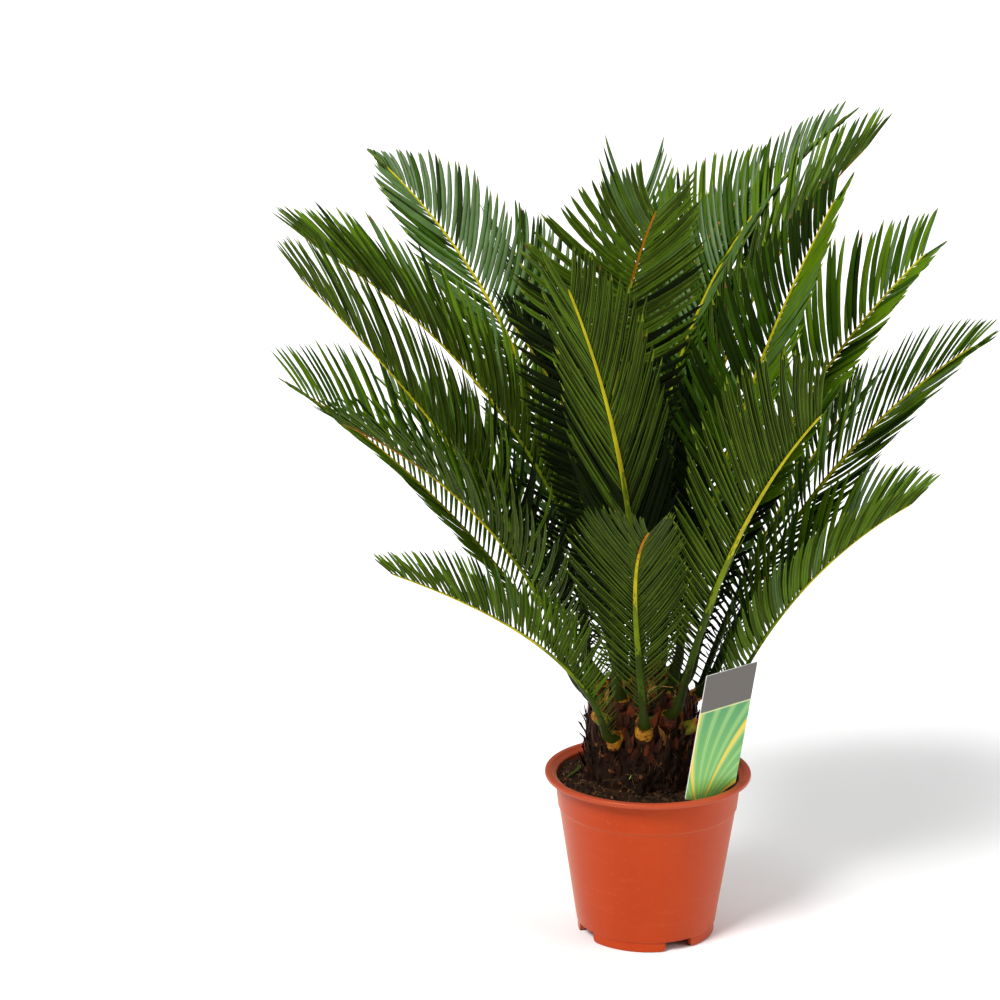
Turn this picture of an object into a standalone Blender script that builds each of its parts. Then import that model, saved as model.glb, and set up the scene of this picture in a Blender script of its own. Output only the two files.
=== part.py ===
"""Sago palm in a plastic nursery pot, built as it grows: pot, potting soil, trunk, fronds and label.

Metres, +Z up. The origin is on the floor under the pot's axis, the front is -Y and +X is the right.
Each frond is a thin blade: a four-sided rib with a row of pointed leaflets down either side, cut to the rib.
"""

import math

import bmesh
import bpy
import numpy as np
from mathutils.bvhtree import BVHTree

# Clearance between neighbouring pieces that rest on each other.
CLEAR = 0.0003

# Pot: 17 cm across the rim, with a rolled lip, a step under it and a foot ring with four notches.
POT_SIDES = 48
RIM_RADIUS = 0.085
RIM_MOUTH = 0.0785
RIM_FLAT = 0.0055
POT_HEIGHT = 0.138
LIP_HEIGHT = 0.0042
BAND_TOP_RADIUS = 0.0752
BAND_FOOT_RADIUS = 0.0735
STEP_HEIGHT = 0.108
STEP_DEPTH = 0.0008
BODY_FOOT_RADIUS = 0.0577
FOOT_HEIGHT = 0.0085
FOOT_RADIUS = 0.0567
FOOT_WALL = 0.0042
FLOOR_UNDERSIDE = 0.0065
POT_WALL = 0.0016
FLOOR_THICKNESS = 0.002
NOTCHES = 4
FIRST_NOTCH_DEG = -61.0
NOTCH_WIDTH = 0.024
DRAIN_HOLES = 6
DRAIN_RING_RADIUS = 0.036
DRAIN_HOLE_RADIUS = 0.005

# Potting soil: flat under the trunk, falling a little to the pot's wall.
SOIL_SIDES = 40
SOIL_TOP = 0.128
SOIL_FLAT_RADIUS = 0.054
SOIL_EDGE_DROP = 0.0035

# Trunk: a short barrel from a flat cut on the soil to a domed crown that carries the fronds.
TRUNK_SIDES = 32
TRUNK_X = -0.005
DOME_RADIUS = 0.0445
DOME_FOOT = 0.178
DOME_RISE = 0.046
DOME_ROWS = 6
BARREL_ROWS = 6
BARREL_SWELL = 0.0028
BARREL_REACH = 0.150
ROOT_FLARE = 0.0012
SCAR_RELIEF = 0.0012
SCARS_ROUND = 8

# Frond blades. A frond's foot sits on the crown's dome and its rib curves out from there.
FOOT_BEND = 0.030
FOOT_WIDTH = 0.0125
FOOT_DEPTH = 0.0110
RIB_WIDTH_AT_FOOT = 0.0092
RIB_WIDTH_AT_TIP = 0.0018
RIB_TAPER = 1.6
RIB_DEPTH_SHARE = 0.72
FULL_FROND = 0.45
PATH_STEPS = 160
RISE_POWER = 1.2
FIRST_LEAFLET = 0.075
LEAFLET_SPACING = 0.0135
LEAFLET_VEE_DEG = 30.0
TERMINAL_LEAFLET = 0.022
ROOM_ROUND_LEAFLET = 0.0005
LEAFLET_TRIES = (1.0, 0.86, 0.72, 0.58, 0.46, 0.36, 0.27)
LIFT_TRIES_DEG = (0.0, 9.0, -9.0)

# Each frond: name, azimuth of its foot (0 is +X, 90 is the back), place up the dome, heading at the foot,
# rise at the foot, rise at the tip, length, turn of its heading by the tip, roll, longest leaflet. The
# lengths are in metres and the rest in degrees.
FRONDS = (
    ("frond_left_top", 150, 30, 148, 88, 32, 0.506, -1, 28, 0.086),
    ("frond_left_upper", 180, 66, 191, 77, 29, 0.438, -17, -5, 0.085),
    ("frond_left_straight", 198, 48, 201, 63, 45, 0.422, -13, 0, 0.085),
    ("frond_left_middle", 207, 30, 212, 70, 27, 0.340, -6, 12, 0.080),
    ("frond_left_wide", 182, 30, 197, 61, 35, 0.360, 2, 30, 0.080),
    ("frond_left_lowest", 243, 2, 260, 56, 19, 0.288, -80, 10, 0.062),
    ("frond_right_tall", 100, 51, 100, 101, 37, 0.436, -72, -25, 0.085),
    ("frond_right_top", 58, 70, 41, 100, 38, 0.484, -27, -8, 0.085),
    ("frond_right_upper", 13, 59, 13, 95, 44, 0.468, -3, 0, 0.080),
    ("frond_right_upright", -50, 49, -34, 81, 64, 0.426, 34, -60, 0.085),
    ("frond_right_straight", -16, 48, -13, 79, 45, 0.408, 20, -45, 0.085),
    ("frond_right_front", -60, 24, -67, 65, 37, 0.384, 3, 0, 0.088),
    ("frond_right_wide", 12, 25, 19, 70, 28, 0.378, 3, -45, 0.075),
    ("frond_right_lowest", -8, 2, -3, 70, 31, 0.260, 3, 6, 0.070),
    ("frond_front_short", 272, 15, 251, 75, 29, 0.268, 32, 0, 0.062),
    ("frond_front_long", 268, 36, 270, 70, 56, 0.414, -32, -20, 0.085),
    ("frond_front_inner", 243, 40, 244, 88, 52, 0.447, 56, 2, 0.080),
    ("frond_front_dark", 236, 62, 215, 88, 50, 0.330, 0, 0, 0.080),
    ("frond_back_upright", 94, 32, 95, 88, 62, 0.400, 0, 0, 0.080),
    ("frond_back_wide", 78, 12, 78, 64, 28, 0.310, 0, 0, 0.080),
    ("frond_back_lowest", 108, 2, 108, 56, 22, 0.270, 0, 0, 0.070),
    ("frond_back_left", 142, 12, 142, 62, 28, 0.330, 0, 0, 0.075),
    ("frond_back_right", 42, 8, 42, 66, 36, 0.320, 0, 0, 0.072),
    ("frond_back_tall", 66, 50, 70, 88, 44, 0.400, 0, 0, 0.080),
    ("frond_back_inner", 130, 51, 122, 82, 38, 0.385, 0, 0, 0.080),
)

# Stubs of cut fronds on the crown's side: name, azimuth, place up the dome in degrees.
LEAF_BASES = (
    ("leaf_base_left", 226, 14),
    ("leaf_base_right", -36, 6),
    ("leaf_base_back", 60, 2),
)
LEAF_BASE_LENGTH = 0.011
LEAF_BASE_WIDTH = 0.012
LEAF_BASE_DEPTH = 0.011
LEAF_BASE_TAPER = 0.72
LEAF_BASE_RISE_DEG = 48.0

# Label: a thin plastic tag that stands in the soil at the front right and leans out over the rim.
LABEL_AZIMUTH_DEG = -45.0
LABEL_REACH = 0.0712
LABEL_WIDTH = 0.058
LABEL_HEIGHT = 0.110
LABEL_LEAN_DEG = 11.0
LABEL_THICKNESS = 0.0008
LABEL_SHOULDER_WIDTH = 0.032
LABEL_SHOULDER_DEPTH = 0.0036
LABEL_STAKE_WIDTH = 0.020
LABEL_STAKE_DEPTH = 0.0128


def clear_scene():
    """Removes whatever the file opened with."""
    for obj in list(bpy.data.objects):
        bpy.data.objects.remove(obj)


def make_material(name, colour, roughness):
    """A plain Principled finish."""
    material = bpy.data.materials.new(name)
    material.use_nodes = True
    shader = material.node_tree.nodes["Principled BSDF"]
    shader.inputs["Base Color"].default_value = (*colour, 1.0)
    shader.inputs["Roughness"].default_value = roughness
    return material


def add_object(name, points, faces, material, smooth=False):
    """An object whose mesh is these points and faces."""
    mesh = bpy.data.meshes.new(name)
    mesh.from_pydata([tuple(p) for p in points], [], faces)
    mesh.materials.append(material)
    if smooth:
        mesh.shade_smooth()
        mesh.set_sharp_from_angle(angle=math.radians(35))
    obj = bpy.data.objects.new(name, mesh)
    bpy.context.scene.collection.objects.link(obj)
    return obj


def turned(profile, sides, centre_x=0.0):
    """Points and faces of a profile turned about the axis, from its lower point on the axis to its upper one."""
    points = [(centre_x, 0.0, profile[0][1]), (centre_x, 0.0, profile[-1][1])]
    rings = profile[1:-1]
    for radius, height in rings:
        for k in range(sides):
            angle = 2 * math.pi * k / sides
            points.append((centre_x + radius * math.cos(angle), radius * math.sin(angle), height))
    faces = []
    last = 2 + (len(rings) - 1) * sides
    for k in range(sides):
        after = (k + 1) % sides
        faces.append((0, 2 + after, 2 + k))
        faces.append((1, last + k, last + after))
        for row in range(len(rings) - 1):
            low = 2 + row * sides
            high = low + sides
            faces.append((low + k, low + after, high + after, high + k))
    return points, faces


def body_radius(height):
    """The pot's outer radius below the step, a straight taper to the foot."""
    share = (height - FOOT_HEIGHT) / (STEP_HEIGHT - FOOT_HEIGHT)
    return BODY_FOOT_RADIUS + share * (BAND_FOOT_RADIUS - STEP_DEPTH - BODY_FOOT_RADIUS)


def pot_profile():
    """The pot's section from the middle of its underside, up the outside, over the rim and down the inside."""
    under_lip = POT_HEIGHT - LIP_HEIGHT
    inner_floor = FLOOR_UNDERSIDE + FLOOR_THICKNESS
    inner_foot = body_radius(inner_floor) - POT_WALL
    return [
        (0.0, FLOOR_UNDERSIDE),
        (FOOT_RADIUS - FOOT_WALL, FLOOR_UNDERSIDE),
        (FOOT_RADIUS - FOOT_WALL, 0.0),
        (FOOT_RADIUS, 0.0),
        (FOOT_RADIUS, FOOT_HEIGHT - 0.0008),
        (BODY_FOOT_RADIUS, FOOT_HEIGHT),
        (body_radius(STEP_HEIGHT - 0.0008), STEP_HEIGHT - 0.0008),
        (BAND_FOOT_RADIUS, STEP_HEIGHT),
        (BAND_TOP_RADIUS, under_lip),
        (RIM_RADIUS - 0.0006, under_lip),
        (RIM_RADIUS, under_lip + 0.0012),
        (RIM_RADIUS - 0.0003, POT_HEIGHT - 0.0010),
        (RIM_RADIUS - 0.0014, POT_HEIGHT),
        (RIM_MOUTH + 0.0012, POT_HEIGHT),
        (RIM_MOUTH, POT_HEIGHT - 0.0014),
        (BAND_TOP_RADIUS - POT_WALL, under_lip + 0.0007),
        (BAND_FOOT_RADIUS - POT_WALL, STEP_HEIGHT),
        (body_radius(STEP_HEIGHT - 0.004) - POT_WALL, STEP_HEIGHT - 0.004),
        (inner_foot, inner_floor),
        (0.0, inner_floor),
    ]


def box_cutter(name, centre, size, turn):
    """A block used only to cut, turned about the vertical."""
    half = [s / 2 for s in size]
    corners = [(x, y, z) for x in (-1, 1) for y in (-1, 1) for z in (-1, 1)]
    cos, sin = math.cos(turn), math.sin(turn)
    points = []
    for x, y, z in corners:
        along, across = centre[0] + x * half[0], y * half[1]
        points.append((along * cos - across * sin, along * sin + across * cos, centre[1] + z * half[2]))
    faces = [(0, 1, 3, 2), (4, 6, 7, 5), (0, 4, 5, 1), (2, 3, 7, 6), (0, 2, 6, 4), (1, 5, 7, 3)]
    return points, faces


def rod_cutter(radius, sides, centre, low, high):
    """An upright rod used only to cut."""
    points, faces = turned([(0.0, low), (radius, low), (radius, high), (0.0, high)], sides)
    return [(x + centre[0], y + centre[1], z) for x, y, z in points], faces


def make_pot(material):
    """The turned shell, with notches through its foot ring and drain holes through its floor."""
    points, faces = turned(pot_profile(), POT_SIDES)
    pot = add_object("pot", points, faces, material, smooth=True)
    cutter_points, cutter_faces = [], []
    blocks = []
    for k in range(NOTCHES):
        turn = math.radians(FIRST_NOTCH_DEG) + 2 * math.pi * k / NOTCHES
        size = (3 * FOOT_WALL, NOTCH_WIDTH, 2 * (FOOT_HEIGHT - 0.0025))
        blocks.append(box_cutter("notch", (FOOT_RADIUS - FOOT_WALL / 2, 0.0), size, turn))
    for k in range(DRAIN_HOLES):
        turn = 2 * math.pi * k / DRAIN_HOLES
        centre = (DRAIN_RING_RADIUS * math.cos(turn), DRAIN_RING_RADIUS * math.sin(turn))
        low, high = FLOOR_UNDERSIDE - 0.002, FLOOR_UNDERSIDE + FLOOR_THICKNESS + 0.002
        blocks.append(rod_cutter(DRAIN_HOLE_RADIUS, 10, centre, low, high))
    for block_points, block_faces in blocks:
        first = len(cutter_points)
        cutter_points += block_points
        cutter_faces += [tuple(first + i for i in face) for face in block_faces]
    cutter = add_object("pot_cutter", cutter_points, cutter_faces, material)
    mesh = bmesh.new()
    mesh.from_mesh(cutter.data)
    bmesh.ops.recalc_face_normals(mesh, faces=mesh.faces)
    mesh.to_mesh(cutter.data)
    mesh.free()
    cutter.hide_render = True
    cutter.display_type = "WIRE"
    cut = pot.modifiers.new("notches and drain holes", "BOOLEAN")
    cut.operation = "DIFFERENCE"
    cut.object = cutter
    return pot


def soil_height(radius):
    """The soil's surface: flat round the trunk, then falling evenly to the wall."""
    edge = BAND_TOP_RADIUS - POT_WALL - CLEAR
    share = max(0.0, (radius - SOIL_FLAT_RADIUS) / (edge - SOIL_FLAT_RADIUS))
    return SOIL_TOP - SOIL_EDGE_DROP * share


def make_soil(material):
    """The soil fills the pot, a hair clear of its floor and wall."""
    floor = FLOOR_UNDERSIDE + FLOOR_THICKNESS + CLEAR
    gap = POT_WALL + 2 * CLEAR
    edge = BAND_FOOT_RADIUS + 0.0008 - gap
    profile = [
        (0.0, floor),
        (body_radius(floor) - gap - 0.0004, floor),
        (body_radius(STEP_HEIGHT - 0.004) - gap - 0.0004, STEP_HEIGHT - 0.004),
        (BAND_FOOT_RADIUS - gap - 0.0003, STEP_HEIGHT),
        (edge, soil_height(edge)),
        (SOIL_FLAT_RADIUS, SOIL_TOP),
        (0.0, SOIL_TOP),
    ]
    points, faces = turned(profile, SOIL_SIDES)
    return add_object("soil", points, faces, material, smooth=True)


def barrel_radius(height):
    """The trunk's radius below the dome: a slight swell, and a small flare at the cut."""
    foot = SOIL_TOP + CLEAR
    share = (height - foot) / (DOME_FOOT - foot)
    swell = BARREL_SWELL * math.sin(math.pi * min(1.0, 0.35 + 0.65 * share)) ** 1.2
    return DOME_RADIUS + swell + ROOT_FLARE * (1 - share) ** 3


def make_trunk(material):
    """The barrel with its rows of old leaf scars, closed by the dome."""
    foot = SOIL_TOP + CLEAR
    points = [(TRUNK_X, 0.0, foot), (TRUNK_X, 0.0, DOME_FOOT + DOME_RISE)]
    rings = 0
    for row in range(BARREL_ROWS):
        height = foot + (DOME_FOOT - foot) * row / BARREL_ROWS
        for k in range(TRUNK_SIDES):
            angle = 2 * math.pi * k / TRUNK_SIDES
            lozenge = math.cos(SCARS_ROUND * angle + math.pi * row)
            fade = min(1.0, max(0.0, (BARREL_REACH - height) / 0.012))
            radius = barrel_radius(height) + SCAR_RELIEF * lozenge * fade
            points.append((TRUNK_X + radius * math.cos(angle), radius * math.sin(angle), height))
        rings += 1
    for row in range(DOME_ROWS):
        place = math.radians(90.0) * row / DOME_ROWS
        radius = DOME_RADIUS * math.cos(place)
        height = DOME_FOOT + DOME_RISE * math.sin(place)
        for k in range(TRUNK_SIDES):
            angle = 2 * math.pi * k / TRUNK_SIDES
            points.append((TRUNK_X + radius * math.cos(angle), radius * math.sin(angle), height))
        rings += 1
    faces = []
    last = 2 + (rings - 1) * TRUNK_SIDES
    for k in range(TRUNK_SIDES):
        after = (k + 1) % TRUNK_SIDES
        faces.append((0, 2 + after, 2 + k))
        faces.append((1, last + k, last + after))
        for row in range(rings - 1):
            low = 2 + row * TRUNK_SIDES
            high = low + TRUNK_SIDES
            faces.append((low + k, low + after, high + after, high + k))
    return add_object("trunk", points, faces, material)


def dome_place(azimuth_deg, place_deg):
    """A point a hair off the crown's dome, and the dome's outward normal there."""
    azimuth, place = math.radians(azimuth_deg), math.radians(place_deg)
    radius = DOME_RADIUS * math.cos(place)
    height = DOME_FOOT + DOME_RISE * math.sin(place)
    out = np.array([math.cos(azimuth), math.sin(azimuth), 0.0])
    normal = out * math.cos(place) / DOME_RADIUS + np.array([0.0, 0.0, math.sin(place) / DOME_RISE])
    normal /= np.linalg.norm(normal)
    point = np.array([TRUNK_X, 0.0, height]) + out * radius
    return point + CLEAR * normal, normal


def frond_path(azimuth, place, heading_foot, rise_foot, rise_tip, length, turn):
    """Points along a rib and its direction there: it leaves the dome squarely, bends up and then arches over."""
    start, normal = dome_place(azimuth, place)
    s = np.linspace(0.0, 1.0, PATH_STEPS + 1)
    rise = np.radians(rise_foot + (rise_tip - rise_foot) * s**RISE_POWER)
    heading = np.radians(heading_foot + turn * s)
    flat = np.cos(rise)
    ahead = np.stack([flat * np.cos(heading), flat * np.sin(heading), np.sin(rise)], axis=-1)
    bend = np.clip(s * length / FOOT_BEND, 0.0, 1.0)
    bend = (bend * bend * (3 - 2 * bend))[:, None]
    ahead = normal * (1 - bend) + ahead * bend
    ahead /= np.linalg.norm(ahead, axis=1, keepdims=True)
    steps = (ahead[1:] + ahead[:-1]) * 0.5 * length / PATH_STEPS
    points = start + np.concatenate([np.zeros((1, 3)), np.cumsum(steps, axis=0)])
    return s, points, ahead, heading


def frond_frame(ahead, heading, roll):
    """The rib's sideways and upward directions, rolled about it."""
    side = np.stack([np.sin(heading), -np.cos(heading), np.zeros_like(heading)], axis=-1)
    side -= (side * ahead).sum(axis=1, keepdims=True) * ahead
    side /= np.linalg.norm(side, axis=1, keepdims=True)
    up = np.cross(side, ahead)
    cos, sin = math.cos(math.radians(roll)), math.sin(math.radians(roll))
    return cos * side + sin * up, cos * up - sin * side


def rib_size(s, length):
    """Half width and half depth of the rib, from its swollen foot to its fine tip."""
    scale = min(1.0, 0.5 + 0.5 * length / FULL_FROND)
    left = max(0.0, 1 - s)
    width = RIB_WIDTH_AT_TIP + (RIB_WIDTH_AT_FOOT * scale - RIB_WIDTH_AT_TIP) * left**RIB_TAPER
    depth = width * RIB_DEPTH_SHARE
    swell = max(0.0, 1 - s * length / FOOT_BEND)
    width += (FOOT_WIDTH - width) * swell
    depth += (FOOT_DEPTH - depth) * swell
    return width / 2, depth / 2


def leaflet_length(s, longest):
    """Short spines at the foot, full length from a third of the way up, short again at the tip."""
    grow = min(1.0, max(0.0, (s - 0.05) / 0.33))
    fade = min(1.0, max(0.0, (s - 0.72) / 0.28))
    return longest * (0.12 + 0.88 * grow**1.1) * (1 - 0.6 * fade**1.2)


def leaflet_angle(s):
    """Angle from the rib: wide at the foot, pointing well forward at the tip."""
    return math.radians(70 - 24 * min(1.0, s / 0.5) - 25 * max(0.0, (s - 0.5) / 0.5))


class Frond:
    """One frond's rib, worked out on its stations, and the leaflets that have been given room on it."""

    def __init__(self, name, azimuth, place, heading, rise_foot, rise_tip, length, turn, roll, longest):
        self.name = name
        self.length = length
        self.longest = longest
        s, points, ahead, headings = frond_path(azimuth, place, heading, rise_foot, rise_tip, length, turn)
        side, up = frond_frame(ahead, headings, roll)
        self.grid = (s, points, ahead, side, up)
        leaflets = round(length * (1 - FIRST_LEAFLET) / LEAFLET_SPACING)
        foot = [0.0, 0.016, 0.036]
        blade = [FIRST_LEAFLET + (1 - FIRST_LEAFLET) * k / leaflets for k in range(leaflets + 1)]
        self.stations = foot + blade
        self.first = len(foot)
        self.leaflets = leaflets
        self.rings = np.array([self.ring(k) for k in range(len(self.stations))])
        self.tips = {}

    def at(self, s):
        """The path's point and directions at a share of the length."""
        grid, *fields = self.grid
        return [np.array([np.interp(s, grid, field[:, axis]) for axis in range(3)]) for field in fields]

    def ring(self, k):
        """The rib's four corners at a station: left top, right top, right bottom, left bottom."""
        point, _, side, up = self.at(self.stations[k])
        half_width, half_depth = rib_size(self.stations[k], self.length)
        corners = ((-1, 1), (1, 1), (1, -1), (-1, -1))
        return [point + x * half_width * side + y * half_depth * up for x, y in corners]

    def root(self, index, hand):
        """The four corners that a leaflet grows from, on the rib's side face."""
        low = self.rings[self.first + index]
        high = self.rings[self.first + index + 1]
        top, bottom = (0, 3) if hand < 0 else (1, 2)
        return np.array([low[top], high[top], high[bottom], low[bottom]])

    def tip(self, index, hand, share, lift_deg):
        """Where a leaflet ends: forward, out to its side and up from the blade."""
        low, high = self.stations[self.first + index : self.first + index + 2]
        s = (low + high) / 2
        _, ahead, side, up = self.at(s)
        angle = leaflet_angle(s)
        vee = math.radians(LEAFLET_VEE_DEG + lift_deg)
        out = math.cos(vee) * hand * side + math.sin(vee) * up
        direction = math.cos(angle) * ahead + math.sin(angle) * out
        return self.root(index, hand).mean(axis=0) + direction * leaflet_length(s, self.longest) * share

    def rib_faces(self):
        """The rib's shell as faces over its rings, with its foot and tip closed."""
        count = len(self.stations)
        faces = [(3, 2, 1, 0)]
        for k in range(count - 1):
            a, b = 4 * k, 4 * (k + 1)
            faces += [(a, a + 1, b + 1, b), (a + 2, a + 3, b + 3, b + 2)]
            faces += [(a + 3, a, b, b + 3), (a + 1, a + 2, b + 2, b + 1)]
        end = 4 * (count - 1)
        faces.append((end, end + 1, end + 2, end + 3))
        return faces

    def mesh(self):
        """Points and faces of the whole frond: the rib, its pointed end and the leaflets on its sides."""
        points = [tuple(p) for ring in self.rings for p in ring]
        faces = [(3, 2, 1, 0)]
        for k in range(len(self.stations) - 1):
            a, b = 4 * k, 4 * (k + 1)
            faces += [(a, a + 1, b + 1, b), (a + 2, a + 3, b + 3, b + 2)]
            for hand, quad in ((-1, (a + 3, a, b, b + 3)), (1, (a + 1, a + 2, b + 2, b + 1))):
                tip = self.tips.get((k - self.first, hand))
                if tip is None:
                    faces.append(quad)
                    continue
                points.append(tuple(tip))
                peak = len(points) - 1
                faces += [(quad[i], quad[(i + 1) % 4], peak) for i in range(4)]
        end = 4 * (len(self.stations) - 1)
        point, ahead, _, _ = self.at(1.0)
        points.append(tuple(point + ahead * TERMINAL_LEAFLET))
        peak = len(points) - 1
        faces += [(end + i, end + (i + 1) % 4, peak) for i in range(4)]
        return points, faces


def spike(root, tip, room):
    """A leaflet's four-sided spike, with room added all round: its points and faces."""
    centre = root.mean(axis=0)
    along = root[1] - root[0]
    along /= np.linalg.norm(along)
    thick = root[0] - root[3]
    thick /= np.linalg.norm(thick)
    signs = ((-1, 1), (1, 1), (1, -1), (-1, -1))
    ahead = tip - centre
    ahead /= np.linalg.norm(ahead)
    low = [corner + room * (x * along + y * thick) for corner, (x, y) in zip(root, signs)]
    high = [tip + room * (ahead + x * along + y * thick) for x, y in signs]
    faces = [(0, 1, 2, 3), (7, 6, 5, 4)] + [(i, i + 4, (i + 1) % 4 + 4, (i + 1) % 4) for i in range(4)]
    return low + high, faces


def tree_of(points, faces):
    """A search tree over a mesh, for touching tests."""
    return BVHTree.FromPolygons([tuple(p) for p in points], faces)


class Crown:
    """What already stands in the crown, so that each leaflet is only as long as its room."""

    def __init__(self, fronds, solids):
        self.solids = solids
        self.ribs = [tree_of(frond.rings.reshape(-1, 3), frond.rib_faces()) for frond in fronds]
        self.lows = np.zeros((0, 3))
        self.highs = np.zeros((0, 3))
        self.trees = []
        self.owners = np.zeros(0, int)

    def is_free(self, owner, points, faces):
        """Whether a spike touches no solid, no other frond's rib and no other frond's leaflet."""
        tree = tree_of(points, faces)
        if any(tree.overlap(solid) for solid in self.solids):
            return False
        if any(tree.overlap(rib) for k, rib in enumerate(self.ribs) if k != owner):
            return False
        low, high = np.min(points, axis=0), np.max(points, axis=0)
        near = (self.lows <= high).all(axis=1) & (self.highs >= low).all(axis=1) & (self.owners != owner)
        return not any(tree.overlap(self.trees[k]) for k in np.flatnonzero(near))

    def keep(self, owner, points, faces):
        """Adds a leaflet that has been given its room."""
        self.trees.append(tree_of(points, faces))
        self.lows = np.vstack([self.lows, np.min(points, axis=0)])
        self.highs = np.vstack([self.highs, np.max(points, axis=0)])
        self.owners = np.append(self.owners, owner)


def grow_leaflet(crown, owner, frond, index, hand):
    """Tries a leaflet at full length and then shorter or lifted, and keeps the first that has room."""
    root = frond.root(index, hand)
    for share in LEAFLET_TRIES:
        for lift in LIFT_TRIES_DEG:
            tip = frond.tip(index, hand, share, lift)
            if crown.is_free(owner, *spike(root, tip, ROOM_ROUND_LEAFLET)):
                frond.tips[index, hand] = tip
                crown.keep(owner, *spike(root, tip, 0.00002))
                return


def make_fronds(solids, material):
    """All ribs first, then the leaflets from every tip inwards, so that outer ones have the first room."""
    fronds = [Frond(*row) for row in FRONDS]
    crown = Crown(fronds, solids)
    for back in range(max(frond.leaflets for frond in fronds)):
        for owner, frond in enumerate(fronds):
            index = frond.leaflets - 1 - back
            if index >= 0:
                grow_leaflet(crown, owner, frond, index, -1)
                grow_leaflet(crown, owner, frond, index, 1)
    for frond in fronds:
        points, faces = frond.mesh()
        add_object(frond.name, points, faces, material)
    return fronds


def make_leaf_base(name, azimuth, place, material):
    """A short tapered stub, square on the dome and cut across its upper end."""
    foot, normal = dome_place(azimuth, place)
    turn, rise = math.radians(azimuth), math.radians(LEAF_BASE_RISE_DEG)
    side = np.array([math.sin(turn), -math.cos(turn), 0.0])
    ahead = np.array([math.cos(rise) * math.cos(turn), math.cos(rise) * math.sin(turn), math.sin(rise)])
    corners = ((-1, 1), (1, 1), (1, -1), (-1, -1))
    points = []
    for centre, facing, size in ((foot, normal, 1.0), (foot + ahead * LEAF_BASE_LENGTH, ahead, LEAF_BASE_TAPER)):
        up = np.cross(side, facing)
        half_width, half_depth = size * LEAF_BASE_WIDTH / 2, size * LEAF_BASE_DEPTH / 2
        points += [centre + x * half_width * side + y * half_depth * up for x, y in corners]
    faces = [(3, 2, 1, 0), (4, 5, 6, 7)] + [(i, (i + 1) % 4, (i + 1) % 4 + 4, i + 4) for i in range(4)]
    return add_object(name, points, faces, material)


def make_label(material):
    """A flat plate with its lower corners cut to a stake, standing on the soil and leaning outwards."""
    turn, lean = math.radians(LABEL_AZIMUTH_DEG), math.radians(LABEL_LEAN_DEG)
    out = np.array([math.cos(turn), math.sin(turn), 0.0])
    across = np.array([-math.sin(turn), math.cos(turn), 0.0])
    up = math.sin(lean) * out + math.cos(lean) * np.array([0.0, 0.0, 1.0])
    facing = np.cross(across, up)
    centre = out * LABEL_REACH + np.array([0.0, 0.0, POT_HEIGHT])
    half, shoulder, stake = LABEL_WIDTH / 2, LABEL_SHOULDER_WIDTH / 2, LABEL_STAKE_WIDTH / 2
    outline = [
        (-stake, -LABEL_STAKE_DEPTH),
        (stake, -LABEL_STAKE_DEPTH),
        (shoulder, -LABEL_SHOULDER_DEPTH),
        (half, 0.0),
        (half, LABEL_HEIGHT),
        (-half, LABEL_HEIGHT),
        (-half, 0.0),
        (-shoulder, -LABEL_SHOULDER_DEPTH),
    ]
    points = []
    for depth in (-0.5, 0.5):
        for x, h in outline:
            points.append(centre + x * across + h * up + depth * LABEL_THICKNESS * facing)
    count = len(outline)
    faces = [tuple(range(count - 1, -1, -1)), tuple(range(count, 2 * count))]
    faces += [(k, (k + 1) % count, (k + 1) % count + count, k + count) for k in range(count)]
    return add_object("plant_label", points, faces, material)


def solid_tree(obj):
    """A search tree over an object as its modifiers leave it."""
    bpy.context.view_layer.update()
    return BVHTree.FromObject(obj, bpy.context.evaluated_depsgraph_get())


def build():
    """The whole plant, from the pot up."""
    clear_scene()
    terracotta = make_material("terracotta plastic", (0.58, 0.095, 0.030), 0.42)
    peat = make_material("potting soil", (0.016, 0.010, 0.006), 0.95)
    bark = make_material("fibrous trunk", (0.055, 0.028, 0.014), 0.9)
    green = make_material("frond green", (0.045, 0.105, 0.015), 0.45)
    cut = make_material("cut leaf base", (0.42, 0.25, 0.05), 0.7)
    card = make_material("label plastic", (0.16, 0.42, 0.13), 0.35)
    solids = [make_pot(terracotta), make_soil(peat), make_trunk(bark), make_label(card)]
    solids += [make_leaf_base(*row, cut) for row in LEAF_BASES]
    make_fronds([solid_tree(obj) for obj in solids], green)


build()
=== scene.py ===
"""Sago palm in a plastic nursery pot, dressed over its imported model: pot, soil, trunk, ribs, leaflets and label.

Metres, +Z up, the front is -Y. Every piece is a surface worked out with numpy on a grid or along paths.
"""

import itertools
import math

import bpy
import numpy as np
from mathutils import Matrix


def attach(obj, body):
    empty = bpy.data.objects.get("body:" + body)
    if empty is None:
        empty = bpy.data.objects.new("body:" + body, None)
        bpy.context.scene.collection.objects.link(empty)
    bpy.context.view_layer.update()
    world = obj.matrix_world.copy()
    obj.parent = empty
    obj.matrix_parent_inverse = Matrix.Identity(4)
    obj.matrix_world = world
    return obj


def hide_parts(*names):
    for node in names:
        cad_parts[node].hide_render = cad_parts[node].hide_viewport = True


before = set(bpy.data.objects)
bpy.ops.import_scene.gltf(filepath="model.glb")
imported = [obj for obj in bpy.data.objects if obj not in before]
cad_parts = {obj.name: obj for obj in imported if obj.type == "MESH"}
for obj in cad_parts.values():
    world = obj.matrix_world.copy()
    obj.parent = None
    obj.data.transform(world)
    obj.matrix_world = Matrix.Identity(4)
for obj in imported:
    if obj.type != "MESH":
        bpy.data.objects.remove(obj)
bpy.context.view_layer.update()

UP = np.array([0.0, 0.0, 1.0])
CLEAR = 0.0003
# The repeatable noise multiplies its cells and its seed by these, and then mixes the bits.
CELL_PRIMES = (73856093, 19349663, 83492791, 2654435761)
MIXING_PRIME = 1274126177
NOISE_ROUGHNESS = 0.6

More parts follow.
